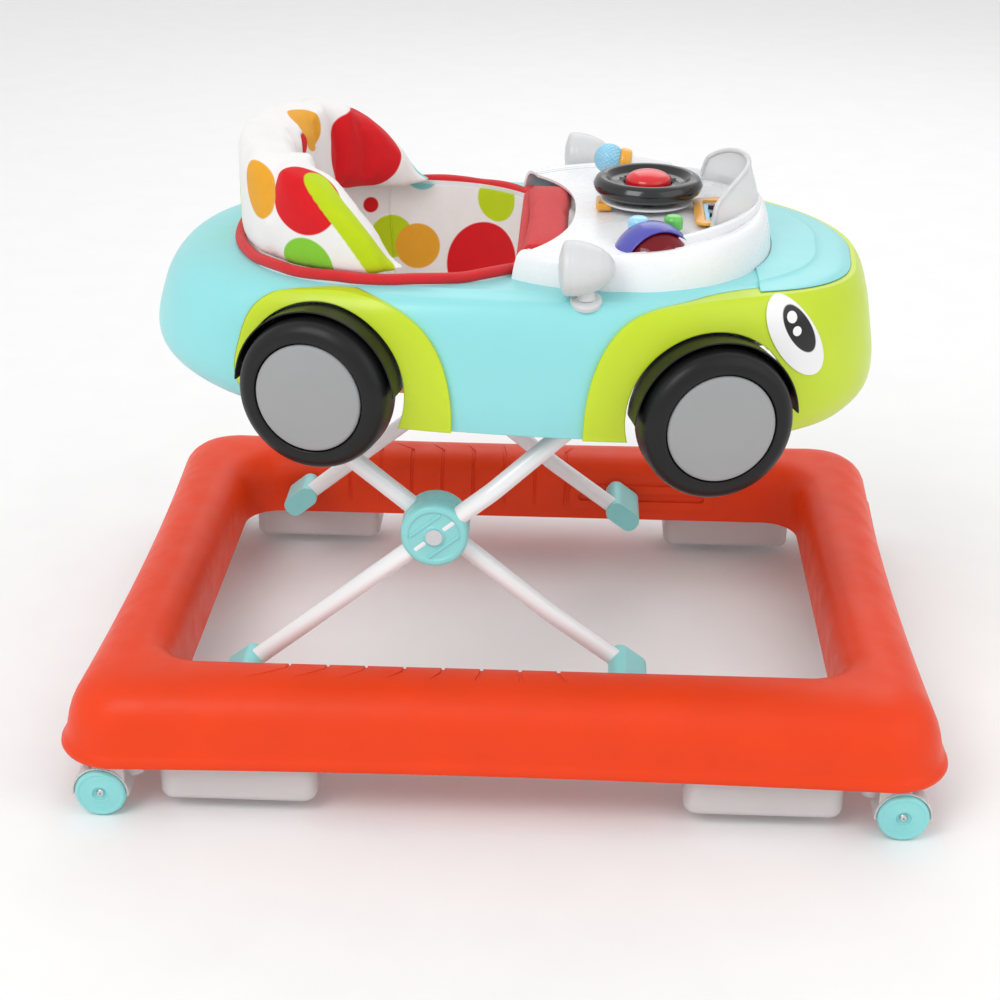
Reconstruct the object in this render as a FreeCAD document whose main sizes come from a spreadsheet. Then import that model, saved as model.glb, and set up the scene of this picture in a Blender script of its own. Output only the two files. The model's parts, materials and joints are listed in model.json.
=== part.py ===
"""Baby walker shaped like a small car: a moulded base ring on four casters, a scissor frame
of two bent steel tubes, and a car body that carries a sling seat and a toy dashboard.

Frame: +X is the front of the car, +Z is up, and the origin is on the floor under the middle
of the base ring. The object is symmetrical about the plane Y = 0 except for the dashboard toys.
"""
import FreeCAD, Part
import math
import os

from FreeCAD import Placement, Rotation, Vector

UP = Vector(0, 0, 1)
ACROSS = Vector(0, 1, 0)
FORWARD = Vector(1, 0, 0)
ORIGIN = Vector(0, 0, 0)

# alias, millimetres or degrees, what it is
SIZES = [
    ("ring_length", 750, "overall length of the base ring at its lip"),
    ("ring_width", 608, "overall width of the base ring at its lip"),
    ("ring_bottom", 50, "height of the ring's lower edge over the floor"),
    ("ring_crest", 114, "height of the ring's top over the floor"),
    ("ring_wall", 3, "wall of the moulded ring"),
    ("ring_corner", 52, "corner radius of the lip"),
    ("ring_waist", 6, "how far the ring's sides dip in between the corners"),
    ("opening_length", 580, "opening inside the ring, along X"),
    ("opening_width", 418, "opening inside the ring, along Y"),
    ("opening_corner", 34, "corner radius of the opening"),
    ("groove_count", 8, "finger grooves over each long rail"),
    ("groove_pitch", 32.7, "spacing of the finger grooves"),
    ("groove_start", -183, "first groove along X"),
    ("groove_width", 2.4, "width of a finger groove"),
    ("groove_depth", 1.4, "depth of a finger groove"),
    ("block_length", 133, "stopper block, along X"),
    ("block_width", 62, "stopper block, along Y"),
    ("block_bottom", 11.5, "stopper block's height over the floor"),
    ("block_top", 58, "where the stopper block meets the ring's ribs"),
    ("block_x", 220.5, "middle of a stopper block along X"),
    ("block_y", 257, "middle of a stopper block along Y"),
    ("block_wall", 2.5, "wall of a stopper block"),
    ("end_block_x", 332, "middle of an end stopper along X"),
    ("end_block_length", 104, "end stopper, along Y"),
    ("end_block_width", 40, "end stopper, along X"),
    ("end_block_bottom", 34, "end stopper's height over the floor"),
    ("rib_thickness", 3, "ribs inside the ring over the stoppers"),
    ("stem_x", 325, "caster stem along X"),
    ("stem_y", 285, "caster stem along Y"),
    ("stem_radius", 4, "caster stem"),
    ("stem_top", 74, "top of the caster stem"),
    ("socket_radius", 9, "outside of the caster socket"),
    ("socket_top", 78, "top of the caster socket"),
    ("boss_wall", 4, "ring's boss round the caster socket"),
    ("caster_radius", 21.7, "caster wheel"),
    ("caster_width", 17, "caster wheel, along its axle"),
    ("caster_trail", 10, "caster axle ahead of the stem"),
    ("caster_axle_radius", 3, "caster axle"),
    ("hood_gap", 0.9, "air between caster wheel and hood"),
    ("hood_wall", 1.5, "wall of the caster hood"),
    ("running_gap", 0.05, "radial clearance of a pin that turns in a bore"),
    ("sliding_gap", 0.4, "clearance of a part that slides"),
    ("rear_pivot_x", -235, "lower rear and upper rear pivots along X"),
    ("low_pivot_z", 76, "height of the two lower pivots"),
    ("arm_reach", 174, "half the scissor arm's length along X at rest"),
    ("arm_rise", 139, "half the scissor arm's length along Z at rest"),
    ("fold_down", 21, "how far the arms turn to the lowest seat height"),
    ("fold_up", 9, "how far the arms turn to the highest seat height"),
    ("tube_radius", 8, "scissor tube"),
    ("tube_bore", 6.8, "inside of the scissor tube"),
    ("outer_plane", 176.5, "middle of the outer tube's arms along Y"),
    ("inner_plane", 159.5, "middle of the inner tube's arms along Y"),
    ("outer_cross", 120, "half the straight crossbar of the outer tube"),
    ("inner_cross", 76, "half the straight crossbar of the inner tube"),
    ("inner_sag", 4, "how far the inner tube's arm bows at its two bends"),
    ("tube_start", 8, "where a tube begins, from its lower pivot"),
    ("hub_radius", 29, "teal disc at the scissor's middle"),
    ("hub_face", 185.5, "outer face of the outer hub disc along Y"),
    ("hub_split", 168, "plane where the two hub discs meet along Y"),
    ("hub_inner_face", 150.5, "inner face of the inner hub disc along Y"),
    ("rivet_radius", 3, "rivet through both hub discs"),
    ("foot_length", 36, "teal fitting at a tube's lower end"),
    ("foot_width", 21, "teal fitting, across the tube"),
    ("foot_face", 204, "outer face of the lower fittings along Y"),
    ("foot_pin_radius", 4, "pin from a fitting into the ring's wall"),
    ("foot_pin_reach", 3, "how far a fitting's pin stands behind the ring's wall"),
    ("guide_thickness", 2.4, "raised plate round the ring's slot"),
    ("guide_margin", 9, "plate round the slot on every side"),
    ("body_rear", 318, "car body behind the origin"),
    ("body_front", 314, "car body ahead of the origin"),
    ("body_width", 390, "car body at its widest"),
    ("body_bottom", 312.5, "lower edge of the car body at its middle"),
    ("body_top", 427, "deck of the car body at its middle"),
    ("body_wall", 2.5, "wall of the car body"),
    ("panel_thickness", 4, "fenders and nose panel over the body"),
    ("hood_thickness", 2, "hood panel over the body"),
    ("panel_gap", 0.6, "joint line between neighbouring panels"),
    ("seat_x", -100, "middle of the seat opening along X"),
    ("seat_length", 276, "seat opening along X"),
    ("seat_width", 300, "seat opening along Y"),
    ("seat_ring_lip", 7, "width of the seat ring on the deck"),
    ("seat_ring_wall", 3, "wall of the seat ring inside the opening"),
    ("wheel_radius", 64, "toy road wheel"),
    ("wheel_width", 40, "toy road wheel, along its axle"),
    ("wheel_bore", 46, "recess of the tyre for the hubcap"),
    ("wheel_toe", 15, "how far the road wheels turn outwards"),
    ("wheel_face", 210, "middle of a road wheel's outer face along Y"),
    ("rear_wheel_x", -160.7, "rear road wheels along X"),
    ("rear_wheel_z", 347.6, "height of the rear road wheels"),
    ("front_wheel_x", 173.9, "front road wheels along X"),
    ("front_wheel_z", 329.1, "height of the front road wheels"),
    ("stub_radius", 6, "stub axle of a road wheel"),
    ("hanger_length", 24, "hanger of a stub axle along X"),
    ("hanger_inner", 156, "inner face of a hanger along Y"),
    ("hanger_thickness", 7, "hanger along Y"),
    ("hanger_root", 124, "where a hanger's foot begins under the tray, along Y"),
    ("arch_gap", 7, "air round a road wheel in its arch"),
    ("tray_bottom", 372, "underside of the chassis tray"),
    ("tray_thickness", 4, "chassis tray"),
    ("tray_half_width", 138, "half the chassis tray's width"),
    ("bracket_y", 62, "middle of the pivot brackets along Y"),
    ("bracket_width", 18, "pivot brackets along Y"),
    ("bracket_wall", 9, "wall of a bracket round the crossbar"),
    ("eye_x", 234, "middle of an eye plate along X"),
    ("eye_z", 388, "height of an eye plate's middle"),
    ("eye_length", 80, "eye plate, along its slant"),
    ("eye_width", 34, "eye plate, across its slant"),
    ("eye_thickness", 1, "eye plate over the nose panel"),
    ("eye_slant", 57, "how far an eye plate slants down to the front, degrees"),
    ("console_x", 84, "middle of the dashboard along X"),
    ("console_half_length", 140, "dashboard, half length at its foot"),
    ("console_half_width", 160, "dashboard, half width at its foot"),
    ("console_top", 450, "height of the dashboard's top at its middle"),
    ("console_wall", 3, "wall of the dashboard"),
    ("console_rise", 3, "dashboard's top tips up to the front, degrees"),
    ("screen_top", 496, "top of the windscreen"),
    ("screen_radius", 98, "plan radius of the windscreen"),
    ("screen_half_width", 80, "half the windscreen's width"),
    ("screen_thickness", 2.5, "windscreen"),
    ("steer_x", 114, "steering wheel along X"),
    ("steer_z", 473, "middle of the steering wheel's rim"),
    ("steer_ring_radius", 40, "middle of the steering wheel's rim"),
    ("steer_rim_radius", 8, "section of the steering wheel's rim"),
    ("horn_radius", 20, "horn button"),
    ("horn_travel", 3, "horn button's travel"),
    ("column_radius", 15, "steering column"),
    ("column_pin_radius", 5, "pin the steering wheel turns on"),
    ("dome_x", 118, "toy dome along X"),
    ("dome_y", -104, "toy dome along Y"),
    ("dome_foot_z", 444, "foot of the toy dome"),
    ("dome_radius", 44, "toy dome at its foot"),
    ("dome_height", 25, "toy dome"),
    ("key_travel", 1.5, "travel of the two toy buttons"),
    ("frame_x", 176, "picture frame along X"),
    ("frame_y", -38, "picture frame along Y"),
    ("frame_z", 456, "height of the picture frame's middle"),
    ("stick_x", 130, "foot of the toy microphone along X"),
    ("stick_y", 96, "toy microphone along Y"),
    ("stick_z", 461, "height of the toy microphone's foot"),
    ("stick_lean", 80, "how far the toy microphone leans back, degrees"),
    ("mirror_x", 62, "toy mirrors along X"),
    ("mirror_y", 175.5, "toy mirrors along Y"),
    ("mirror_z", 451, "middle of the toy mirrors"),
    ("mirror_radius", 22.5, "toy mirror's rim"),
    ("mirror_depth", 42, "toy mirror, front to back"),
    ("stalk_radius", 7, "mirror stalk"),
    ("back_top", 528, "top of the back cushion"),
    ("back_thickness", 34, "back cushion"),
    ("sling_bottom", 298, "lowest point of the seat sling"),
    ("sling_thickness", 5, "seat sling"),
]

doc = FreeCAD.newDocument("baby_walker")
sheet = doc.addObject("Spreadsheet::Sheet", "dim")
for row, (alias, value, meaning) in enumerate(SIZES, 1):
    sheet.set(f"A{row}", alias)
    sheet.set(f"B{row}", str(value))
    sheet.set(f"C{row}", meaning)
    sheet.setAlias(f"B{row}", alias)
doc.recompute()

pieces = {}


def dim(alias):
    """A size from the sheet."""
    return float(sheet.get(alias))


def keep(node, item):
    """Name a finished piece, which is written to its own file."""
    item.Label = node
    pieces[node] = item
    return item


def shaped(node, shape):
    """A finished piece with a shape of its own."""
    item = doc.addObject("Part::Feature", node)
    item.Shape = shape
    return keep(node, item)


def bind(item, **expressions):
    """Tie an object's properties to the sheet."""
    for name, expression in expressions.items():
        item.setExpression(name, expression)
    return item


def seat_at(item, x, y, z):
    """Tie an object's place to the sheet."""
    for coordinate, expression in zip("xyz", (x, y, z)):
        item.setExpression(f"Placement.Base.{coordinate}", expression)
    return item


def cylinder(name, radius, height, place, axis=UP):
    """A cylinder whose foot is at place and whose sizes and place are expressions."""
    item = doc.addObject("Part::Cylinder", name)
    item.Placement = Placement(ORIGIN, Rotation(UP, axis))
    bind(item, Radius=radius, Height=height)
    return seat_at(item, *place)


def cut(name, base, *tools):
    """What is left of base without the tools."""
    for number, tool in enumerate(tools):
        item = doc.addObject("Part::Cut", f"{name}_{number}")
        item.Base = base
        item.Tool = tool
        base = item
    return base


def fuse(name, *items):
    """Several objects made one solid."""
    item = doc.addObject("Part::MultiFuse", name)
    item.Shapes = list(items)
    item.Refine = True
    return item


def mirrored(name, source, normal=ACROSS):
    """A copy of an object on the other side of the middle plane."""
    item = doc.addObject("Part::Mirroring", name)
    item.Source = source
    item.Normal = normal
    return item


def group(node, *items):
    """Like pieces that share one node."""
    item = doc.addObject("Part::Compound", node)
    item.Links = list(items)
    return keep(node, item)


def pair(node, right):
    """The piece on the right side and its copy on the left, in one node."""
    return group(node, right, mirrored(f"{node}_other", right))


# ---------------------------------------------------------------- plain shapes

def solid_cylinder(radius, length, foot, axis=UP):
    return Part.makeCylinder(radius, length, foot, axis)


def solid_box(x, y, z):
    """A box from three (low, high) ranges."""
    return Part.makeBox(x[1] - x[0], y[1] - y[0], z[1] - z[0], Vector(x[0], y[0], z[0]))


def outline(half_x, half_y, radius, waist, z):
    """A closed wire of four corner arcs, joined by sides that dip in by waist."""
    edges = []
    signs = [(1, 1), (-1, 1), (-1, -1), (1, -1)]
    middles = [(0, half_y - waist), (waist - half_x, 0), (0, waist - half_y), (half_x - waist, 0)]

    def on_corner(quarter, degrees):
        sign_x, sign_y = signs[quarter % 4]
        turn = math.radians(90 * quarter + degrees)
        return Vector(sign_x * (half_x - radius) + radius * math.cos(turn),
                      sign_y * (half_y - radius) + radius * math.sin(turn), z)

    for quarter in range(4):
        start, middle, end = (on_corner(quarter, degrees) for degrees in (0, 45, 90))
        edges.append(Part.Arc(start, middle, end).toShape())
        following = on_corner(quarter + 1, 0)
        if waist:
            side = Part.Arc(end, Vector(*middles[quarter], z), following)
        else:
            side = Part.LineSegment(end, following)
        edges.append(side.toShape())
    return Part.Wire(edges)


def rounded_plan(half_x, half_y, z, middle_x=0.0, power=2.5, steps=24, tilt=0.0):
    """A closed boat-shaped wire: |x|^power + |y|^power = 1, tipped nose-down by tilt."""
    points = []
    for step in range(steps):
        turn = 2 * math.pi * step / steps
        cosine, sine = math.cos(turn), math.sin(turn)
        x = math.copysign(abs(cosine) ** (2 / power), cosine) * half_x
        y = math.copysign(abs(sine) ** (2 / power), sine) * half_y
        points.append(Vector(middle_x + x, y, z))
    curve = Part.BSplineCurve()
    curve.interpolate(points, PeriodicFlag=True)
    wire = Part.Wire([curve.toShape()])
    if tilt:
        wire.rotate(Vector(0, 0, z), ACROSS, tilt)
    return wire


def prism(wire, height):
    """A wire's face pushed up by height."""
    return Part.Face(wire).extrude(Vector(0, 0, height))


def side_prism(wire, low_y, high_y):
    """A wire in the XZ plane pushed across from low_y to high_y."""
    face = Part.Face(wire)
    face.translate(Vector(0, low_y, 0))
    return face.extrude(Vector(0, high_y - low_y, 0))


def swept_rod(points, radii, radius):
    """A round rod along straight runs that are joined by tangent arcs."""
    heading = (points[1] - points[0]).normalize()
    circle = Part.Wire([Part.Circle(points[0], heading, radius).toShape()])
    return arc_path(points, radii).makePipeShell([circle], True, False)


def arc_path(points, radii):
    """Straight runs joined by an arc of the given radius at each inner point."""
    edges = []
    last = points[0]
    for before, corner, after, radius in zip(points, points[1:], points[2:], radii):
        come = (corner - before).normalize()
        leave = (after - corner).normalize()
        half_turn = come.getAngle(leave) / 2
        reach = radius * math.tan(half_turn)
        start = corner - come * reach
        end = corner + leave * reach
        inward = (leave - come).normalize()
        middle = corner + inward * (radius / math.cos(half_turn) - radius)
        edges.append(Part.LineSegment(last, start).toShape())
        edges.append(Part.Arc(start, middle, end).toShape())
        last = end
    edges.append(Part.LineSegment(last, points[-1]).toShape())
    return Part.Wire(edges)


# ---------------------------------------------------------------- scissor geometry

REAR = dim("rear_pivot_x")
LOW = dim("low_pivot_z")
ARM = math.hypot(dim("arm_reach"), dim("arm_rise"))
ARM_ANGLE = math.degrees(math.atan2(dim("arm_rise"), dim("arm_reach")))
HUB = Vector(REAR + dim("arm_reach"), 0, LOW + dim("arm_rise"))
FRONT = REAR + 2 * dim("arm_reach")
HIGH = LOW + 2 * dim("arm_rise")


def front_pivot_x(turn):
    """Where the two front pivots stand when the arms have turned down by turn degrees."""
    return REAR + 2 * ARM * math.cos(math.radians(ARM_ANGLE - turn))


SLOT_REAR = front_pivot_x(-dim("fold_up"))
SLOT_FRONT = front_pivot_x(dim("fold_down"))

# ---------------------------------------------------------------- base ring

# share of the ring's height, distance in from the lip
OUTER_RIM = [(0.00, 2), (0.06, 0), (0.12, 1.5), (0.20, 4.5), (0.36, 6.5), (0.52, 9), (0.66, 13),
             (0.78, 18.5), (0.88, 26), (0.95, 36), (1.00, 50)]
# share of the ring's height, distance out from the opening
INNER_RIM = [(0.00, 0), (0.70, 0), (0.80, 2), (0.89, 6.5), (0.96, 14), (1.00, 26)]
OVERRUN = 2


def rim_block(rows, side, grow, top, overrun=0):
    """A lofted block whose side follows the rows: side -1 is the ring's outside, +1 its opening."""
    outline_of = "opening" if side > 0 else "ring"
    length, width, corner = (dim(f"{outline_of}_{size}") for size in ("length", "width", "corner"))
    bottom = dim("ring_bottom")
    waist = dim("ring_waist") if side < 0 else 0
    levels = [(bottom + share * (top - bottom), inset) for share, inset in rows]
    if overrun:
        levels.insert(0, (levels[0][0] - overrun, levels[0][1]))
        levels.append((levels[-1][0] + overrun, levels[-1][1] + overrun))
    wires = []
    for level, inset in levels:
        reach = side * inset + grow
        radius = corner + (reach * 0.8 if side > 0 else reach * 0.5)
        wires.append(outline(length / 2 + reach, width / 2 + reach, radius, waist, level))
    return Part.makeLoft(wires, True, True)


def groove_tools():
    """Upright slices that mark the finger grooves on both long rails."""
    slices = []
    half = dim("opening_width") / 2
    for number in range(int(dim("groove_count"))):
        x = dim("groove_start") + number * dim("groove_pitch")
        for low_y in (half - 5, -half - 30):
            slices.append(solid_box((x, x + dim("groove_width")), (low_y, low_y + 35),
                                    (dim("ring_crest") - 28, dim("ring_crest") + 5)))
    return Part.makeCompound(slices)


def corners(x, y):
    """The four mirror places of a point over the floor plan."""
    return [(sign_x * x, sign_y * y) for sign_x in (1, -1) for sign_y in (1, -1)]


def ring_ribs():
    """What stays solid inside the hollow ring: ribs over the stoppers and caster bosses."""
    ribs = []
    half = dim("rib_thickness") / 2
    top = dim("ring_crest") + 5
    for x, y in corners(dim("block_x"), dim("block_y")):
        for shift in (-dim("block_length") / 3, dim("block_length") / 3):
            ribs.append(solid_box((x + shift - half, x + shift + half), (y - 70, y + 70),
                                  (dim("block_top"), top)))
        ribs.append(solid_cylinder(dim("socket_radius") + dim("boss_wall"), top,
                                   Vector(math.copysign(dim("stem_x"), x),
                                          math.copysign(dim("stem_y"), y), dim("ring_bottom"))))
    for sign in (-1, 1):
        for y in (-dim("end_block_length") / 4, dim("end_block_length") / 4):
            ribs.append(solid_box((sign * dim("end_block_x") - 60, sign * dim("end_block_x") + 60),
                                  (y - half, y + half), (dim("block_top"), top)))
    return ribs


# how far the slots and bores for the leg pins run past the pins and the ring's wall
PIN_END_ROOM = 2


def base_ring():
    crest = dim("ring_crest")
    wall = dim("ring_wall")
    body = rim_block(OUTER_RIM, -1, 0, crest)
    body = body.cut(rim_block(INNER_RIM, 1, 0, crest, OVERRUN))
    hollow = rim_block(OUTER_RIM, -1, -wall, crest - wall, OVERRUN)
    hollow = hollow.cut(solid_box((-500, 500), (-500, 500), (crest - wall, crest + 20)))
    hollow = hollow.cut(rim_block(INNER_RIM, 1, wall, crest - wall, 2 * OVERRUN))
    body = body.cut(hollow.cut(ring_ribs()))
    grooves = rim_block(INNER_RIM, 1, dim("groove_depth"), crest - dim("groove_depth"), 5)
    body = body.cut(grooves.common(groove_tools()))
    holes = []
    for x, y in corners(dim("stem_x"), dim("stem_y")):
        holes.append(solid_cylinder(dim("socket_radius"), dim("socket_top") - dim("ring_bottom") + 5,
                                    Vector(x, y, dim("ring_bottom") - 5)))
    pin = dim("foot_pin_radius")
    inside = dim("opening_width") / 2 - PIN_END_ROOM
    depth = wall + dim("foot_pin_reach") + 2 * PIN_END_ROOM
    for start in (inside, -inside - depth):
        holes.append(solid_cylinder(pin + dim("running_gap"), depth, Vector(REAR, start, LOW), ACROSS))
        holes.append(slot_tool(pin + dim("sliding_gap"), start, depth))
    shaped("base_ring", body.cut(holes))


def slot_tool(half_height, start, depth):
    """The slot in which the inner tube's lower pins travel."""
    middle = solid_box((SLOT_REAR, SLOT_FRONT), (start, start + depth),
                       (LOW - half_height, LOW + half_height))
    ends = [solid_cylinder(half_height, depth, Vector(x, start, LOW), ACROSS)
            for x in (SLOT_REAR, SLOT_FRONT)]
    return middle.fuse(ends)


def slot_guides():
    """Raised plates round the two slots, on the ring's inner wall."""
    plates = []
    face = dim("opening_width") / 2
    thick = dim("guide_thickness")
    margin = dim("foot_pin_radius") + dim("guide_margin")
    for start in (face - thick, -face):
        plate = solid_box((SLOT_REAR - margin, SLOT_FRONT + margin), (start, start + thick),
                          (LOW - margin, LOW + margin))
        upright = [edge for edge in plate.Edges
                   if abs(edge.Vertexes[0].Y - edge.Vertexes[1].Y) > thick / 2]
        plate = plate.makeFillet(margin / 2, upright)
        plates.append(plate.cut(slot_tool(dim("foot_pin_radius") + dim("sliding_gap"), start - 1, thick + 2)))
    shaped("slot_guides", Part.makeCompound(plates))


def stopper_shape(x, y, length, width, bottom):
    """An open-topped moulded box with rounded lower edges that hangs under the ring."""
    top = dim("block_top")
    wall = dim("block_wall")
    radius = min(width, length) / 5
    shell = solid_box((x - length / 2, x + length / 2), (y - width / 2, y + width / 2), (bottom, top))
    hollow = solid_box((x - length / 2 + wall, x + length / 2 - wall),
                       (y - width / 2 + wall, y + width / 2 - wall), (bottom + wall, top + 1))
    upright = [edge for edge in shell.Edges if abs(edge.Vertexes[0].Z - edge.Vertexes[1].Z) > 1]
    shell = shell.makeFillet(radius, upright)
    low = [edge for edge in shell.Edges if edge.BoundBox.ZMax < bottom + 0.1]
    shell = shell.makeFillet(radius * 0.55, low)
    corner = [edge for edge in hollow.Edges if abs(edge.Vertexes[0].Z - edge.Vertexes[1].Z) > 1]
    hollow = hollow.makeFillet(radius - wall, corner)
    low = [edge for edge in hollow.Edges if edge.BoundBox.ZMax < bottom + wall + 0.1]
    hollow = hollow.makeFillet((radius - wall) * 0.5, low)
    return shell.cut(hollow)


def stoppers():
    for side, sign in (("left", 1), ("right", -1)):
        blocks = [stopper_shape(x, sign * dim("block_y"), dim("block_length"), dim("block_width"),
                                dim("block_bottom")) for x in (dim("block_x"), -dim("block_x"))]
        shaped(f"stopper_blocks_{side}", Part.makeCompound(blocks))
    ends = [stopper_shape(x, 0, dim("end_block_width"), dim("end_block_length"), dim("end_block_bottom"))
            for x in (dim("end_block_x"), -dim("end_block_x"))]
    shaped("end_stoppers", Part.makeCompound(ends))


# ---------------------------------------------------------------- casters

def caster_sockets():
    """Bushes in the ring's four bosses, each with the bore that a caster stem turns in."""
    bushes = []
    for x, y in corners(1, 1):
        name = f"socket_{'front' if x > 0 else 'rear'}_{'left' if y > 0 else 'right'}"
        place = (f"{x} * dim.stem_x", f"{y} * dim.stem_y", "dim.ring_bottom")
        bush = cylinder(name, "dim.socket_radius", "dim.socket_top - dim.ring_bottom", place)
        bore = cylinder(name + "_bore", "dim.stem_radius + dim.running_gap",
                        "dim.stem_top - dim.ring_bottom + 2", place)
        bushes.append(cut(name + "_bush", bush, bore))
    group("caster_sockets", *bushes)


def caster_fork(sign_x, sign_y):
    """Stem, hood and cheek of one caster, with the axle that its wheel turns on."""
    radius = dim("caster_radius")
    inner = radius + dim("hood_gap")
    outer = inner + dim("hood_wall")
    width = dim("caster_width")
    cheek = 8
    side_gap = 1
    axle_x = dim("caster_trail")
    out = dim("caster_width") - 4
    back = out - width - side_gap - cheek
    ceiling = dim("ring_bottom") - 0.6
    hood = solid_cylinder(outer, width + side_gap + cheek - 2, Vector(axle_x, back, radius), ACROSS)
    room = solid_cylinder(inner, width + side_gap + 5, Vector(axle_x, back + cheek, radius), ACROSS)
    lower = solid_box((-80, 80), (-80, 80), (-10, radius - 2))
    hood = hood.cut(room)
    hood = hood.cut(lower).fuse(solid_cylinder(radius - 5, cheek, Vector(axle_x, back, radius), ACROSS))
    neck = solid_box((-11, 15), (back, out - 3), (radius + 6, ceiling))
    neck = neck.cut(room)
    lobe = solid_cylinder(9, ceiling - 30, Vector(-14, back - 1, 30))
    fork = hood.fuse([neck, lobe, solid_cylinder(dim("stem_radius"), dim("stem_top") - ceiling + 3,
                                                 Vector(0, 0, ceiling - 3)),
                      solid_cylinder(dim("caster_axle_radius"), cheek + side_gap + width - 3,
                                     Vector(axle_x, back, radius), ACROSS)])
    return place_caster(fork.removeSplitter(), sign_x, sign_y)


def place_caster(shape, sign_x, sign_y):
    """Mirror a front-left caster piece to its corner."""
    if sign_x < 0:
        shape = shape.mirror(ORIGIN, FORWARD)
    if sign_y < 0:
        shape = shape.mirror(ORIGIN, ACROSS)
    shape.translate(Vector(sign_x * dim("stem_x"), sign_y * dim("stem_y"), 0))
    return shape


def caster_wheel(sign_x, sign_y):
    radius = dim("caster_radius")
    width = dim("caster_width")
    start = dim("caster_width") - 4 - width
    wheel = solid_cylinder(radius, width, Vector(dim("caster_trail"), start, radius), ACROSS)
    wheel = wheel.makeFillet(1.6, [edge for edge in wheel.Edges if edge.Closed])
    bore = solid_cylinder(dim("caster_axle_radius") + dim("running_gap"), width - 1.5,
                          Vector(dim("caster_trail"), start - 1, radius), ACROSS)
    return place_caster(wheel.cut(bore), sign_x, sign_y)


def casters():
    for sign_x, end in ((1, "front"), (-1, "rear")):
        for sign_y, side in ((1, "left"), (-1, "right")):
            shaped(f"caster_fork_{end}_{side}", caster_fork(sign_x, sign_y))
            shaped(f"caster_wheel_{end}_{side}", caster_wheel(sign_x, sign_y))


# ---------------------------------------------------------------- scissor frame

# where the arms bend, as shares of an arm's length, and the crossbar's corner beyond its straight
BEND_SHARE = 0.55
OUTER_BEND_SHARE = 0.64
CROSS_CORNER = 14


def along(start, end, distance):
    """The point at a distance from start towards end."""
    return start + (end - start).normalize() * distance


def outer_points():
    """Route of the outer tube: rear foot, straight arm, crossbar under the car's front."""
    plane = dim("outer_plane")
    foot = Vector(REAR, plane, LOW)
    head = Vector(FRONT, plane, HIGH)
    bend = along(foot, head, 2 * ARM * OUTER_BEND_SHARE)
    cross = Vector(FRONT, dim("outer_cross") + CROSS_CORNER, HIGH)
    half = [along(foot, head, dim("tube_start")), bend, cross]
    return half + [Vector(point.x, -point.y, point.z) for point in reversed(half)]


def inner_points():
    """Route of the inner tube: front foot, slightly bent arm, crossbar under the car's rear."""
    plane = dim("inner_plane")
    foot = Vector(FRONT, plane, LOW)
    middle = Vector(HUB.x, plane, HUB.z)
    low_bend = along(middle, foot, ARM * BEND_SHARE) - UP * dim("inner_sag")
    high_bend = middle - (low_bend - middle)
    cross = Vector(REAR, dim("inner_cross") + CROSS_CORNER, HIGH)
    half = [along(foot, low_bend, dim("tube_start")), low_bend, high_bend, cross]
    return half + [Vector(point.x, -point.y, point.z) for point in reversed(half)]


TUBE_BENDS = {"outer": [60, 24, 24, 60], "inner": [120, 60, 24, 24, 60, 120]}


def foot_shape(pivot, toward, plane):
    """The fitting on a tube's lower end: a rounded block with room for the tube."""
    length = dim("foot_length")
    width = dim("foot_width")
    face = dim("foot_face")
    tube = dim("tube_radius")
    depth = face - (plane - tube - 3)
    block = Part.makeBox(length, depth, width, Vector(-width / 2, plane - tube - 3, -width / 2))
    across = [edge for edge in block.Edges
              if abs(edge.Vertexes[0].Y - edge.Vertexes[1].Y) > 1]
    block = block.makeFillet(width * 0.42, across)
    heading = toward - pivot
    lift = math.degrees(math.atan2(heading.z, heading.x))
    block.Placement = Placement(Vector(pivot.x, 0, pivot.z), Rotation(ACROSS, -lift))
    return block


def legs():
    routes = {"outer": outer_points(), "inner": inner_points()}
    for name, points in routes.items():
        plane = dim(f"{name}_plane")
        envelope = swept_rod(points, TUBE_BENDS[name], dim("tube_radius"))
        tube = envelope.cut(swept_rod(points, TUBE_BENDS[name], dim("tube_bore")))
        rivet = solid_cylinder(rivet_bore(name), 600, Vector(HUB.x, -300, HUB.z), ACROSS)
        shaped(f"{name}_leg_tube", tube.cut(rivet))
        pivot = Vector(REAR if name == "outer" else FRONT, plane, LOW)
        foot = foot_shape(pivot, points[1], plane)
        pin_start = plane + dim("tube_radius") + 2
        pin_end = dim("opening_width") / 2 + dim("ring_wall") + dim("foot_pin_reach")
        pin = solid_cylinder(dim("foot_pin_radius"), pin_end - pin_start,
                             Vector(pivot.x, pin_start, pivot.z), ACROSS)
        foot = foot.cut([envelope, pin])
        shaped(f"{name}_leg_feet", both_sides(foot))
        shaped(f"{name}_leg_pins", both_sides(pin))
        hub_disc(name, envelope)


def both_sides(shape):
    """A shape and its copy on the other side of the car, as separate solids."""
    return Part.makeCompound([shape, shape.mirror(ORIGIN, ACROSS)])


def rivet_bore(name):
    """The rivet is fast in the outer tube and turns in the inner one."""
    return dim("rivet_radius") + (dim("running_gap") if name == "inner" else 0)


def hub_disc(name, envelope):
    low = dim("hub_split") + 0.3 if name == "outer" else dim("hub_inner_face")
    high = dim("hub_face") if name == "outer" else dim("hub_split")
    foot = Vector(HUB.x, low, HUB.z)
    disc = solid_cylinder(dim("hub_radius"), high - low, foot, ACROSS)
    rounded = [edge for edge in disc.Edges if edge.Closed and
               abs(edge.BoundBox.YMin - (high if name == "outer" else low)) < 0.1]
    disc = disc.makeFillet(3, rounded)
    disc = disc.cut([envelope, solid_cylinder(rivet_bore(name), 60, Vector(HUB.x, low - 5, HUB.z), ACROSS)])
    shaped(f"{name}_hub_discs", both_sides(disc))


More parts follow.
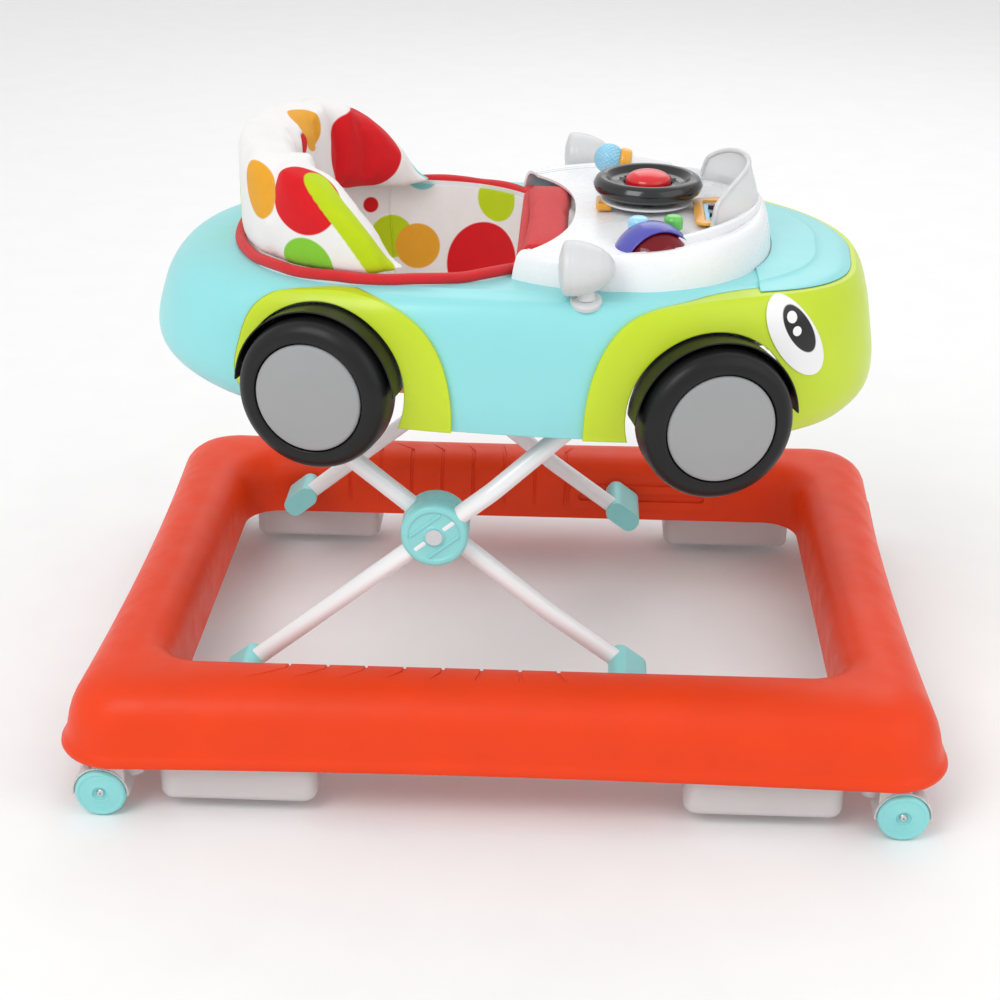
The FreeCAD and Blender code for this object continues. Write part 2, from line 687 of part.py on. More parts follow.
def hub_rivets():
    """Rivets through the hubs, with a round head on the outside."""
    shank = cylinder("rivet_shank", "dim.rivet_radius", "dim.hub_face - dim.hub_inner_face",
                     (f"{HUB.x}", "dim.hub_inner_face", f"{HUB.z}"), ACROSS)
    head = cylinder("rivet_head", "dim.rivet_radius * 2.4", "1.4",
                    (f"{HUB.x}", "dim.hub_face", f"{HUB.z}"), ACROSS)
    tail = cylinder("rivet_tail", "dim.rivet_radius * 2", "1.4",
                    (f"{HUB.x}", "dim.hub_inner_face - 1.4 - dim.running_gap", f"{HUB.z}"), ACROSS)
    return pair("hub_rivets", fuse("rivet", shank, head, tail))


# ---------------------------------------------------------------- car body

# share of the height, inset at the rear, the front and the sides, nose-down tilt in degrees
BODY_ROWS = [
    (0.00, 22, 16, 3, 2.5), (0.11, 6, 4, 1, 2.3), (0.28, 0, 0, 0, 2.0), (0.52, 5, 4, 1, 1.6),
    (0.73, 13, 9, 3, 1.2), (0.87, 25, 17, 7, 0.8), (0.955, 44, 30, 14, 0.6), (1.00, 76, 54, 32, 0.5),
]


def body_block(grow=0.0, lower=0.0):
    """The car body's outer form, grown outwards by grow and carried down by lower."""
    bottom = dim("body_bottom")
    height = dim("body_top") + grow - bottom
    wires = []
    rows = list(BODY_ROWS)
    for share, rear_inset, front_inset, side_inset, tilt in rows:
        rear = -dim("body_rear") + rear_inset - grow
        front = dim("body_front") - front_inset + grow
        half = dim("body_width") / 2 - side_inset + grow
        level = bottom + share * height
        if share == 0:
            level -= lower
        wires.append(rounded_plan((front - rear) / 2, half, level, (front + rear) / 2, tilt=tilt))
    return Part.makeLoft(wires, True, False)


def seat_plan(grow, z):
    """The egg-shaped plan of the seat opening."""
    return rounded_plan(dim("seat_length") / 2 + grow, dim("seat_width") / 2 + grow, z, dim("seat_x"),
                        power=2.3)


def wheel_places():
    """Name, middle of the outer face and outward axle direction of each road wheel."""
    places = []
    for end, toe_sign in (("front", 1), ("rear", -1)):
        for side, sign in (("left", 1), ("right", -1)):
            toe = math.radians(dim("wheel_toe"))
            outward = Vector(toe_sign * math.sin(toe), sign * math.cos(toe), 0)
            face = Vector(dim(f"{end}_wheel_x"), sign * dim("wheel_face"), dim(f"{end}_wheel_z"))
            places.append((f"{end}_{side}", face, outward))
    return places


def arch_tools():
    """Cylinders that open the body and the fenders round the road wheels."""
    depth = dim("wheel_width") + 30
    return [solid_cylinder(dim("wheel_radius") + dim("arch_gap"), depth + 60,
                           face - outward * depth, outward) for _, face, outward in wheel_places()]


def body_shell(form, arches):
    shell = form.cut(body_block(-dim("body_wall"), lower=5))
    opening = prism(seat_plan(0, dim("body_top") - 40), 80)
    shaped("body_shell", shell.cut([opening] + arches))


def smooth_wire(points, closing):
    """A curve through points in the XZ plane, closed by straight lines through closing."""
    curve = Part.BSplineCurve()
    curve.interpolate([Vector(x, 0, z) for x, z in points])
    edges = [curve.toShape()]
    corners_list = [points[-1]] + closing + [points[0]]
    for start, end in zip(corners_list, corners_list[1:]):
        edges.append(Part.LineSegment(Vector(start[0], 0, start[1]), Vector(end[0], 0, end[1])).toShape())
    return Part.Wire(edges)


# a fender's outline from the side: distance ahead of the axle, and its height over a level
REAR_FENDER = [(112, "bottom", 0), (112, "axle", 12), (92, "axle", 54), (50, "top", 0), (-8, "top", 1),
               (-56, "axle", 65), (-84, "axle", 33), (-103, "axle", -17), (-108, "bottom", 0)]
FRONT_FENDER = [(-112, "bottom", 0), (-110, "axle", 12), (-101, "axle", 48), (-77, "axle", 81),
                (-37, "top", -3), (20, "top", -1), (90, "top", -6), (200, "top", -10)]
PANEL_REACH = 260
REAR_FENDER_EDGE = 160


def fender_line(end, table):
    """Points of a fender's outline, tied to its wheel and to the body's height."""
    levels = {"axle": dim(f"{end}_wheel_z"), "top": dim("body_top") - 3,
              "bottom": dim("body_bottom") - 20}
    return [(dim(f"{end}_wheel_x") + ahead, levels[level] + over) for ahead, level, over in table]


def fenders(form, arches):
    """Lime panels over the wheel arches, and the nose that joins the front two."""
    skin = body_block(dim("panel_thickness")).cut(form)
    rear_prism = side_prism(smooth_wire(fender_line("rear", REAR_FENDER), []), -PANEL_REACH,
                            -REAR_FENDER_EDGE)
    rear = skin.common(rear_prism).cut(arches)
    right = shaped("rear_fender_right", largest(rear))
    keep("rear_fender_left", mirrored("rear_fender_left", right))
    front_line = fender_line("front", FRONT_FENDER)
    bottom = front_line[0][1]
    front_x = dim("front_wheel_x")
    nose_foot = [(front_line[-1][0], bottom)]
    clip_prism = side_prism(smooth_wire(front_line, nose_foot), -PANEL_REACH, PANEL_REACH)
    clip = largest(skin.common(clip_prism).cut(arches))
    shaped("front_clip", clip)
    sheet_skin = body_block(dim("hood_thickness")).cut(form)
    hood = sheet_skin.common(solid_box((front_x + 30, front_x + 200),
                                           (-PANEL_REACH, PANEL_REACH), (380, 480)))
    hood = hood.cut([side_prism(grown_front(front_line, bottom), -PANEL_REACH, PANEL_REACH),
                     console_block(dim("panel_gap"))])
    shaped("hood_panel", largest(hood))
    return [clip, hood]


def grown_front(line, bottom):
    """The nose panel's outline with the joint line added above it."""
    gap = dim("panel_gap")
    raised = [(x - gap, z + gap) for x, z in line]
    return smooth_wire(raised, [(raised[-1][0], bottom)])


def largest(shape):
    """The main solid of a cut that may leave slivers."""
    return max(shape.Solids, key=lambda solid: solid.Volume)


def chassis(arches):
    """Tray inside the body, brackets for the two crossbars and stubs for the road wheels."""
    low = dim("tray_bottom")
    high = low + dim("tray_thickness")
    half = dim("tray_half_width")
    tray = solid_box((-500, 500), (-half, half), (low, high)).common(body_block(-dim("body_wall"), lower=5))
    shaped("chassis_tray", tray.cut([prism(seat_plan(-12, low - 1), high - low + 2)] + arches))
    width = dim("bracket_width")
    wall = dim("bracket_wall")
    tube = dim("tube_radius")
    start = dim("bracket_y") - width / 2
    pivot = solid_box((REAR - tube - wall, REAR + tube + wall), (start, start + width),
                      (HIGH - tube - wall, low))
    pivot = pivot.cut(solid_cylinder(tube + dim("running_gap"), width + 2, Vector(REAR, start - 1, HIGH),
                                     ACROSS))
    shaped("rear_pivot_brackets", both_sides(pivot))
    slot_half = tube + dim("sliding_gap")
    rail = solid_box((SLOT_REAR - tube - wall, SLOT_FRONT + tube + wall), (start, start + width),
                     (HIGH - tube - wall, low))
    slot = solid_box((SLOT_REAR, SLOT_FRONT), (start - 1, start + width + 1),
                     (HIGH - slot_half, HIGH + slot_half))
    ends = [solid_cylinder(slot_half, width + 2, Vector(x, start - 1, HIGH), ACROSS)
            for x in (SLOT_REAR, SLOT_FRONT)]
    shaped("front_slide_brackets", both_sides(rail.cut([slot] + ends)))


def wheel_stubs():
    """Hangers under the tray, each with the stub axle of a road wheel."""
    stubs = []
    half = dim("hanger_length") / 2
    inner = dim("hanger_inner")
    outer = inner + dim("hanger_thickness")
    ceiling = dim("tray_bottom")
    for _, face, outward in wheel_places():
        sign = math.copysign(1, face.y)
        along_x = (face.x - half, face.x + half)
        low = face.z - dim("stub_radius") - 3
        plate = solid_box(along_x, sorted((sign * inner, sign * outer)), (low, ceiling))
        foot = solid_box(along_x, sorted((sign * dim("hanger_root"), sign * outer)),
                         (ceiling - dim("tray_thickness"), ceiling))
        root = dim("wheel_width") + 16
        axle = solid_cylinder(dim("stub_radius"), root - 8, face - outward * root, outward)
        stubs.append(plate.fuse([foot, axle]))
    shaped("wheel_stubs", Part.makeCompound(stubs))


def road_wheel(face, outward):
    """A tyre with a recess for its hubcap, and the hubcap, each turned about the axle."""
    radius = dim("wheel_radius")
    width = dim("wheel_width")
    bore = dim("wheel_bore")
    recess = 5
    back = face - outward * width
    tyre = solid_cylinder(radius, width, back, outward)
    rims = [edge for edge in tyre.Edges if edge.Closed]
    tyre = tyre.makeFillet(width * 0.28, rims)
    tyre = tyre.cut([solid_cylinder(bore, recess + 1, face - outward * recess, outward),
                     solid_cylinder(bore - 6, width - 18, back - outward, outward),
                     solid_cylinder(dim("stub_radius") + dim("running_gap"), width, back, outward)])
    cap = solid_cylinder(bore - 0.5, recess, face - outward * recess, outward)
    outer = [edge for edge in cap.Edges if edge.Closed and
             abs((edge.CenterOfMass - face).dot(outward)) < 0.1]
    return tyre, cap.makeFillet(2.5, outer)


def road_wheels():
    for name, face, outward in wheel_places():
        tyre, cap = road_wheel(face, outward)
        shaped(f"tyre_{name}", tyre)
        shaped(f"hubcap_{name}", cap)


def eye_inserts(panels, arches):
    """Oval eye plates set beside the nose and hood panels."""
    seat = dim("panel_thickness") + dim("running_gap")
    skin = body_block(seat + dim("eye_thickness")).cut(body_block(seat))
    low = Vector(dim("eye_x"), -PANEL_REACH, dim("eye_z"))
    ring = Part.Ellipse(low, dim("eye_length") / 2, dim("eye_width") / 2)
    ring.rotate(Placement(low, Rotation(FORWARD, 90), ORIGIN))
    oval = Part.Face(Part.Wire([ring.toShape()]))
    oval.rotate(low, ACROSS, dim("eye_slant"))
    eye = largest(skin.common(oval.extrude(Vector(0, 160, 0))).cut(panels + arches))
    shaped("eye_inserts", both_sides(eye))


# ---------------------------------------------------------------- dashboard

# share of the height, share of the foot's size
CONSOLE_ROWS = [(0.00, 1.00), (0.45, 0.98), (0.80, 0.93), (1.00, 0.84)]
CONSOLE_FOOT = 405


def console_block(grow=0.0):
    """The dashboard's outer form."""
    wires = []
    height = dim("console_top") + grow - CONSOLE_FOOT
    for share, scale in CONSOLE_ROWS:
        wires.append(rounded_plan(dim("console_half_length") * scale + grow,
                                  dim("console_half_width") * scale + grow,
                                  CONSOLE_FOOT + share * height, dim("console_x"), power=2.2,
                                  tilt=-dim("console_rise")))
    block = Part.makeLoft(wires, True, False)
    return block.cut(prism(seat_plan(14 - grow, CONSOLE_FOOT - 40), 160))


def console(form):
    outer = console_block()
    shell = outer.cut(console_block(-dim("console_wall")))
    shell = shell.cut([form, mirror_room()])
    shaped("console", largest(shell))
    return outer


def mirror_room():
    """Room beside the dashboard for the feet of the mirror stalks."""
    return both_sides(solid_cylinder(16, 100, Vector(dim("mirror_x"), dim("mirror_y"), 400)))


def windscreen(outer):
    radius = dim("screen_radius")
    middle = Vector(dim("steer_x"), 0, dim("console_top") - 20)
    height = dim("screen_top") - middle.z
    curved = solid_cylinder(radius, height, middle).cut(
        solid_cylinder(radius - dim("screen_thickness"), height, middle))
    arch = Part.Ellipse(ORIGIN, dim("screen_half_width"), height)
    face = Part.Face(Part.Wire([arch.toShape()]))
    face.Placement = Placement(Vector(middle.x + 20, 0, middle.z), Rotation(Vector(1, 1, 1), 120))
    shaped("windscreen", largest(curved.common(face.extrude(Vector(200, 0, 0))).cut(outer)))


def steering(outer):
    x = dim("steer_x")
    rim_z = dim("steer_z")
    rim = dim("steer_rim_radius")
    under = rim_z - rim - 4
    pin = dim("column_pin_radius")
    column = solid_cylinder(dim("column_radius"), 60, Vector(x, 0, under - 60.5)).cut(outer)
    column = largest(column).fuse(solid_cylinder(pin, 8, Vector(x, 0, under - 1)))
    shaped("steering_column", column)
    ring = Part.makeTorus(dim("steer_ring_radius"), rim, Vector(x, 0, rim_z))
    hub_radius = dim("horn_radius") + 7
    hub = solid_cylinder(hub_radius, rim_z + 2 - under, Vector(x, 0, under))
    dish = solid_cylinder(dim("steer_ring_radius"), 7, Vector(x, 0, rim_z - 6))
    wheel = ring.fuse([hub, dish])
    pocket_z = rim_z + 2 - dim("horn_travel") - 2
    wheel = wheel.cut([solid_cylinder(pin + dim("running_gap"), 8, Vector(x, 0, under - 1)),
                       solid_cylinder(dim("horn_radius") + dim("sliding_gap"), 60, Vector(x, 0, pocket_z))])
    shaped("steering_wheel", wheel.removeSplitter())
    foot = pocket_z + dim("horn_travel") + 0.3
    button = solid_cylinder(dim("horn_radius"), 4, Vector(x, 0, foot))
    dome_rise = 8
    ball = (dim("horn_radius") ** 2 + dome_rise ** 2) / (2 * dome_rise)
    crown = Part.makeSphere(ball, Vector(x, 0, foot + 4 + dome_rise - ball))
    crown = crown.common(solid_cylinder(dim("horn_radius"), dome_rise + 4, Vector(x, 0, foot + 2)))
    shaped("horn_button", button.fuse(crown).removeSplitter())


def toy_dome(outer):
    """Clear red dome with a cap over its crown and two keys that press into it."""
    radius = dim("dome_radius")
    height = dim("dome_height")
    ball = (radius ** 2 + height ** 2) / (2 * height)
    foot = Vector(dim("dome_x"), dim("dome_y"), dim("dome_foot_z"))
    middle = foot + UP * (height - ball)
    above = solid_cylinder(radius + 10, 60, foot - UP * 15)
    dome = Part.makeSphere(ball, middle).common(above).cut(outer)
    cap_ring = Part.makeSphere(ball + 1.5, middle).cut(Part.makeSphere(ball, middle))
    cap = cap_ring.common(solid_box((foot.x - 40, foot.x + 40), (foot.y - 8, foot.y + 32),
                                    (foot.z + height * 0.45, foot.z + 60)))
    keys = {"blue_button": (Vector(-14, 6, 0), 9), "green_button": (Vector(15, 12, 0), 8)}
    holes = []
    for name, (shift, key_radius) in keys.items():
        place = Vector(foot.x + shift.x, foot.y + shift.y, foot.z + height - 9)
        key = solid_cylinder(key_radius, 12, place)
        key = key.makeFillet(2, [edge for edge in key.Edges
                                 if edge.Closed and edge.BoundBox.ZMin > place.z + 11])
        shaped(name, key)
        holes.append(solid_cylinder(key_radius + dim("sliding_gap"), 60,
                                    place - UP * (dim("key_travel") + 0.4)))
    shaped("toy_dome", largest(dome.cut(holes)))
    shaped("toy_cap", largest(cap.cut(holes + [outer])))


def dashboard_toys(outer):
    frame_place = Vector(dim("frame_x"), dim("frame_y"), dim("frame_z"))
    plate = solid_box((-23, 23), (-40, 40), (-24, 6))
    upright = [edge for edge in plate.Edges if abs(edge.Vertexes[0].Z - edge.Vertexes[1].Z) > 1]
    plate = plate.makeFillet(10, upright)
    window = solid_box((-14, 14), (-30, 30), (2, 10))
    frame = plate.cut(window)
    frame.rotate(ORIGIN, ACROSS, -dim("console_rise"))
    frame.translate(frame_place)
    dome_room = solid_cylinder(dim("dome_radius") + 1, 100, Vector(dim("dome_x"), dim("dome_y"), 400))
    behind_screen = solid_cylinder(dim("screen_radius") - dim("screen_thickness") - dim("sliding_gap"),
                                   200, Vector(dim("steer_x"), 0, 400))
    shaped("picture_frame", largest(frame.common(behind_screen).cut([outer, dome_room])))
    stick_place = Vector(dim("stick_x"), dim("stick_y"), dim("stick_z"))
    stick = solid_cylinder(9, 44, ORIGIN).fuse(Part.makeSphere(14, Vector(0, 0, 50)))
    stick.rotate(ORIGIN, -ACROSS, dim("stick_lean"))
    stick.translate(stick_place)
    rest = solid_cylinder(12, 40, Vector(stick_place.x - 4, stick_place.y, stick_place.z - 30))
    shaped("microphone", largest(stick.fuse(rest).cut(outer)))


def mirrors(form, outer):
    """Two toy mirrors: a domed head whose flat glass faces the seat, on a stalk that it turns on."""
    depth = dim("mirror_depth")
    radius = dim("mirror_radius")
    lower = dim("mirror_z") - radius * 0.8
    profile = [(-depth * 0.45, 0), (-depth * 0.45, radius * 0.9), (-depth * 0.36, radius),
               (-depth * 0.12, radius * 0.97), (depth * 0.2, radius * 0.78), (depth * 0.45, radius * 0.42),
               (depth * 0.55, 0)]
    curve = Part.BSplineCurve()
    curve.interpolate([Vector(x, 0, z) for x, z in profile[2:]])
    edges = [Part.LineSegment(Vector(*(profile[i][0], 0, profile[i][1])),
                              Vector(*(profile[i + 1][0], 0, profile[i + 1][1]))).toShape() for i in (0, 1)]
    edges.append(curve.toShape())
    edges.append(Part.LineSegment(Vector(profile[-1][0], 0, 0), Vector(profile[0][0], 0, 0)).toShape())
    head = Part.Face(Part.Wire(edges)).revolve(ORIGIN, FORWARD, 360)
    head = Part.makeSolid(head) if head.ShapeType == "Shell" else head
    head.translate(Vector(dim("mirror_x"), dim("mirror_y"), dim("mirror_z")))
    stalk = dim("stalk_radius")
    pin = 4
    under = Vector(dim("mirror_x"), dim("mirror_y"), lower)
    head = head.cut([solid_cylinder(stalk + 3, radius, under - UP * radius),
                     solid_cylinder(pin + dim("running_gap"), 16, under - UP)])
    left = shaped("mirror_head_left", largest(head))
    keep("mirror_head_right", mirrored("mirror_head_right", left))
    post = solid_cylinder(stalk, 60, Vector(dim("mirror_x"), dim("mirror_y"), lower - 60.3))
    post = post.fuse([solid_cylinder(13, 20, Vector(dim("mirror_x"), dim("mirror_y"), dim("body_top") - 20)),
                      solid_cylinder(pin, 14, Vector(dim("mirror_x"), dim("mirror_y"), lower - 1))])
    shaped("mirror_stalks", both_sides(largest(post.cut(form))))


# ---------------------------------------------------------------- seat

def seat(form):
    top = dim("body_top") + 5
    lip = dim("seat_ring_lip")
    wall = dim("seat_ring_wall")
    flange = prism(seat_plan(lip, top - 8), 8).cut(form)
    collar = prism(seat_plan(0, dim("body_top") - 16), 14)
    ring = flange.fuse(collar).cut(prism(seat_plan(-wall, dim("body_top") - 30), 60))
    shaped("seat_ring", largest(ring))
    sling(top)
    cushions(top)


# share of the depth, share of the opening's size, shift of the middle to the front
SLING_ROWS = [(0.00, 0.985, 0), (0.30, 0.93, 0), (0.65, 0.80, 6), (0.88, 0.60, 12), (1.00, 0.36, 14)]


def sling_block(grow):
    """The sling's bag, grown outwards by grow."""
    wires = []
    top = dim("body_top") + 4
    for share, scale, shift in SLING_ROWS:
        level = top - share * (top - dim("sling_bottom") + grow)
        half_x = (dim("seat_length") / 2 - dim("seat_ring_wall") - 1) * scale + grow
        half_y = (dim("seat_width") / 2 - dim("seat_ring_wall") - 1) * scale + grow
        wires.append(rounded_plan(half_x, half_y, level, dim("seat_x") + shift, power=2.3))
    return Part.makeLoft(wires, True, False)


def sling(top):
    thick = dim("sling_thickness")
    inside = sling_block(-thick)
    inside.translate(UP * 0.1)
    bag = sling_block(0).cut(inside)
    holes = []
    for sign in (-1, 1):
        hole = solid_cylinder(44, 160, Vector(dim("seat_x") + 46, sign * 62, dim("sling_bottom") + 40),
                              Vector(0.55, sign * 0.25, -1))
        holes.append(hole)
    shaped("seat_sling", largest(bag.cut(holes)))


def cushions(top):
    """Plain closed forms of the winged back cushion and of the padded front edge."""
    thick = dim("back_thickness")
    ring = prism(seat_plan(0, top + 0.3), 200).cut(prism(seat_plan(-thick, top - 1), 210))
    rear_x = dim("seat_x") - dim("seat_length") / 2
    crown = [(rear_x - 20, dim("back_top")), (rear_x + 40, dim("back_top") - 8),
             (rear_x + 90, dim("back_top") - 28), (rear_x + 136, top + 18), (rear_x + 150, top - 20),
             (rear_x - 20, top - 20)]
    wire = Part.makePolygon([Vector(x, 0, z) for x, z in crown + crown[:1]])
    shaped("back_cushion", largest(ring.common(side_prism(wire, -300, 300))))
    front_x = dim("seat_x") + dim("seat_length") / 2
    pad = solid_box((front_x - 30, front_x + 10), (-96, 96), (top + 0.3, top + 12))
    pad = pad.makeFillet(4, [edge for edge in pad.Edges if edge.BoundBox.ZMin > top + 11])
    shaped("front_pad", largest(pad.cut(console_block(dim("panel_gap")))))


# ---------------------------------------------------------------- build and write

def build():
    base_ring()
    slot_guides()
    stoppers()
    caster_sockets()
    casters()
    legs()
    hub_rivets()
    form = body_block()
    arches = arch_tools()
    body_shell(form, arches)
    panels = fenders(form, arches)
    chassis(arches)
    wheel_stubs()
    road_wheels()
    eye_inserts(panels, arches)
    outer = console(form)
    windscreen(outer)
    steering(outer)
    toy_dome(outer)
    dashboard_toys(outer)
    mirrors(form, outer)
    seat(form)


def write_parts():
    doc.recompute()
    for item in doc.Objects:
        if "Invalid" in item.State or "Error" in item.State:
            raise RuntimeError(f"{item.Label} failed: {item.State}")
    os.makedirs("parts", exist_ok=True)
    for node, item in pieces.items():
        shape = item.Shape
        if shape.isNull() or not shape.isValid() or not shape.Solids:
            raise RuntimeError(f"{node} has no valid solid")
        shape.exportStep(f"parts/{node}.step")
    print(len(pieces), "pieces written")


build()
write_parts()
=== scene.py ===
"""Looks of a car-shaped baby walker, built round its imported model. Metres, +X is the car's front."""

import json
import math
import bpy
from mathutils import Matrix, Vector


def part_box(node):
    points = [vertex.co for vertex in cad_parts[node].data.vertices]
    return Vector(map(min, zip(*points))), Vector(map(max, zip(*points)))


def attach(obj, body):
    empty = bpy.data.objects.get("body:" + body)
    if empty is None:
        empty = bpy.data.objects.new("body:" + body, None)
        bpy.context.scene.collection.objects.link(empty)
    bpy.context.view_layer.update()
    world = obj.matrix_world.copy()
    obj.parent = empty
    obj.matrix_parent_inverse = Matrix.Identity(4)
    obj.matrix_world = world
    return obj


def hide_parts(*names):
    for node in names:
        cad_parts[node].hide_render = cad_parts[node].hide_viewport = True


bl_info = {
    "name": "Baby Walker",
    "version": (1, 0, 0),
    "blender": (4, 5, 0),
    "location": "View3D > Sidebar > Walker",
    "description": "Builds a car-shaped baby walker round its packed frame",
    "category": "Add Mesh",
}

import bpy
from bpy.props import FloatProperty, FloatVectorProperty, PointerProperty
from mathutils import Matrix, Vector

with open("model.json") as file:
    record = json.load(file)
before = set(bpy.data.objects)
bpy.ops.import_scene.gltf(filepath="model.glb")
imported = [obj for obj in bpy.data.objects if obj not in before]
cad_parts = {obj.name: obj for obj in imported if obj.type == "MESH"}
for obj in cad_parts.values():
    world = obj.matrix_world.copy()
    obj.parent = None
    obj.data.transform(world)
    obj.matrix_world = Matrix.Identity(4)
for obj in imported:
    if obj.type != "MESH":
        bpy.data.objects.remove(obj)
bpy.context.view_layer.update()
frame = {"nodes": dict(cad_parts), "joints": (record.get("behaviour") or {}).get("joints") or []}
ACROSS = Vector((0, 1, 0))
UP = Vector((0, 0, 1))

# ---------------------------------------------------------------- mesh tools


def deselect():
    """Leave nothing selected."""
    bpy.ops.object.select_all(action="DESELECT")


def only(piece):
    """Make a piece the only one selected and the active one."""
    deselect()
    piece.select_set(True)
    bpy.context.view_layer.objects.active = piece


def modify(piece, kind, **settings):
    """Add a modifier to a piece and apply it."""
    only(piece)
    bpy.ops.object.modifier_add(type=kind)
    modifier = piece.modifiers[-1]
    for name, value in settings.items():
        setattr(modifier, name, value)
    bpy.ops.object.modifier_apply(modifier=modifier.name)


def settle(piece, smooth=40):
    """Put a piece's place into its mesh and smooth all but its sharp edges."""
    only(piece)
    bpy.ops.object.transform_apply(location=True, rotation=True, scale=True)
    bpy.ops.object.shade_smooth_by_angle(angle=math.radians(smooth))
    return piece


def clean(piece, gap=1e-5):
    """Merge a piece's doubles and turn its faces outwards."""
    only(piece)
    bpy.ops.object.mode_set(mode="EDIT")
    bpy.ops.mesh.select_all(action="SELECT")
    bpy.ops.mesh.remove_doubles(threshold=gap)
    bpy.ops.mesh.normals_make_consistent(inside=False)
    bpy.ops.object.mode_set(mode="OBJECT")
    return piece


def surface(name, columns, rows, place, smooth=40):
    """A grid whose points go to place(u, v), each of the two running from 0 to 1."""
    deselect()
    bpy.ops.mesh.primitive_grid_add(x_subdivisions=columns, y_subdivisions=rows, size=1)
    piece = bpy.context.object
    piece.name = name
    for point in piece.data.vertices:
        point.co = place(min(1, max(0, point.co.x + 0.5)), min(1, max(0, point.co.y + 0.5)))
    return settle(clean(piece), smooth)


def spline(points, share):
    """The point at a share of a smooth run through points of any dimension."""
    last = len(points) - 1
    at = min(last - 1e-9, max(0, share * last))
    step = int(at)
    t = at - step
    before, start, end, after = (points[min(last, max(0, step + k))] for k in (-1, 0, 1, 2))
    return [0.5 * (2 * b + (c - a) * t + (2 * a - 5 * b + 4 * c - d) * t * t
                   + (3 * b - a - 3 * c + d) * t ** 3)
            for a, b, c, d in zip(before, start, end, after)]


def turned(axis):
    """The turn that carries +Z onto an axis."""
    return UP.rotation_difference(Vector(axis)).to_matrix().to_4x4()


def lathe(name, profile, centre, axis=(0, 0, 1), sides=64, smooth=32):
    """A turned solid from (radius, height) points, along an axis from centre."""
    frame_of = Matrix.Translation(centre) @ turned(axis)

    def place(u, v):
        radius, height = profile[min(len(profile) - 1, round(v * (len(profile) - 1)))]
        turn = 2 * math.pi * u
        return frame_of @ Vector((radius * math.cos(turn), radius * math.sin(turn), height))

    return surface(name, sides, len(profile) - 1, place, smooth)


def rounded(profile, radius, steps=4):
    """A profile whose inner corners are replaced by arcs of about the given radius."""
    softened = [profile[0]]
    for before, corner, after in zip(profile, profile[1:], profile[2:]):
        corner, before, after = Vector(corner), Vector(before), Vector(after)
        reach = min(radius, (before - corner).length / 2.2, (after - corner).length / 2.2)
        start = corner + (before - corner).normalized() * reach
        end = corner + (after - corner).normalized() * reach
        for step in range(steps + 1):
            t = step / steps
            softened.append(tuple(start * (1 - t) ** 2 + corner * 2 * t * (1 - t) + end * t * t))
    return softened + [profile[-1]]


def pipe(name, points, radius, sides=12, closed=False, steps=8):
    """A round rod along a smooth run through points."""
    run = points + points[:1] if closed else points
    count = steps * (len(run) - 1)
    ring = [Vector(spline(run, k / count)) for k in range(count + 1)]
    if closed:
        ring[-1] = ring[0]

    def heading(k):
        if closed:
            return ring[(k + 1) % count] - ring[(k - 1) % count]
        return ring[min(count, k + 1)] - ring[max(0, k - 1)]

    def place(u, v):
        k = round(u * count)
        ahead = heading(k).normalized()
        side = ahead.cross(UP if abs(ahead.z) < 0.95 else ACROSS).normalized()
        turn = 2 * math.pi * v
        wide = radius if closed or 0 < k < count else 0
        return ring[k] + (side * math.cos(turn) + ahead.cross(side) * math.sin(turn)) * wide

    return surface(name, count, sides, place)


def box_piece(name, low, high, bevel, segments=4):
    """A block with rounded edges between two corners."""
    deselect()
    low, high = Vector(low), Vector(high)
    bpy.ops.mesh.primitive_cube_add(size=1, location=(low + high) / 2)
    piece = bpy.context.object
    piece.name = name
    piece.scale = high - low
    settle(piece)
    modify(piece, "BEVEL", width=bevel, segments=segments, limit_method="NONE")
    return settle(piece)


def joined(name, pieces):
    """Several meshes made one piece."""
    deselect()
    for piece in pieces:
        piece.select_set(True)
    bpy.context.view_layer.objects.active = pieces[0]
    if len(pieces) > 1:
        bpy.ops.object.join()
    pieces[0].name = name
    return pieces[0]


def duplicate(piece, name, change=None):
    """A copy with its own mesh, each point sent through change."""
    deselect()
    piece.select_set(True)
    bpy.context.view_layer.objects.active = piece
    bpy.ops.object.duplicate(linked=False)
    copy = bpy.context.object
    copy.name = name
    if change:
        for point in copy.data.vertices:
            point.co = change(point.co)
        clean(copy)
    return copy


def softened(name, node, voxel, smoothing, push=0.0):
    """A copy of a CAD node with its sharp edges rounded over."""
    source = frame["nodes"][node]
    deselect()
    source.select_set(True)
    bpy.context.view_layer.objects.active = source
    bpy.ops.object.duplicate(linked=False)
    piece = bpy.context.object
    piece.name = name
    piece.parent = None
    for key in [key for key in piece.keys() if key.startswith("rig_")]:
        del piece[key]
    clean(piece)
    modify(piece, "REMESH", mode="VOXEL", voxel_size=voxel)
    modify(piece, "SMOOTH", factor=0.5, iterations=smoothing)
    if push:
        modify(piece, "DISPLACE", strength=push, mid_level=0)
    return settle(piece, 60)


def done(piece, body, finish, nodes=()):
    """Give a new piece its finish in a material slot, hang it from its body, and hide the CAD nodes that it
    stands for.
    """
    piece.data.materials.clear()
    piece.data.materials.append(finish)
    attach(piece, body)
    if nodes:
        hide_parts(*nodes)
    return piece


def finish_nodes(finish, *nodes):
    """Give carried-over CAD nodes their finish."""
    for node in nodes:
        piece = frame["nodes"][node]
        piece.data.materials.clear()
        piece.data.materials.append(finish)


# ---------------------------------------------------------------- finishes


def colours():
    """The scene's colour settings."""
    return bpy.context.scene.walker_colours


def sizes():
    """The scene's size settings."""
    return bpy.context.scene.walker_sizes


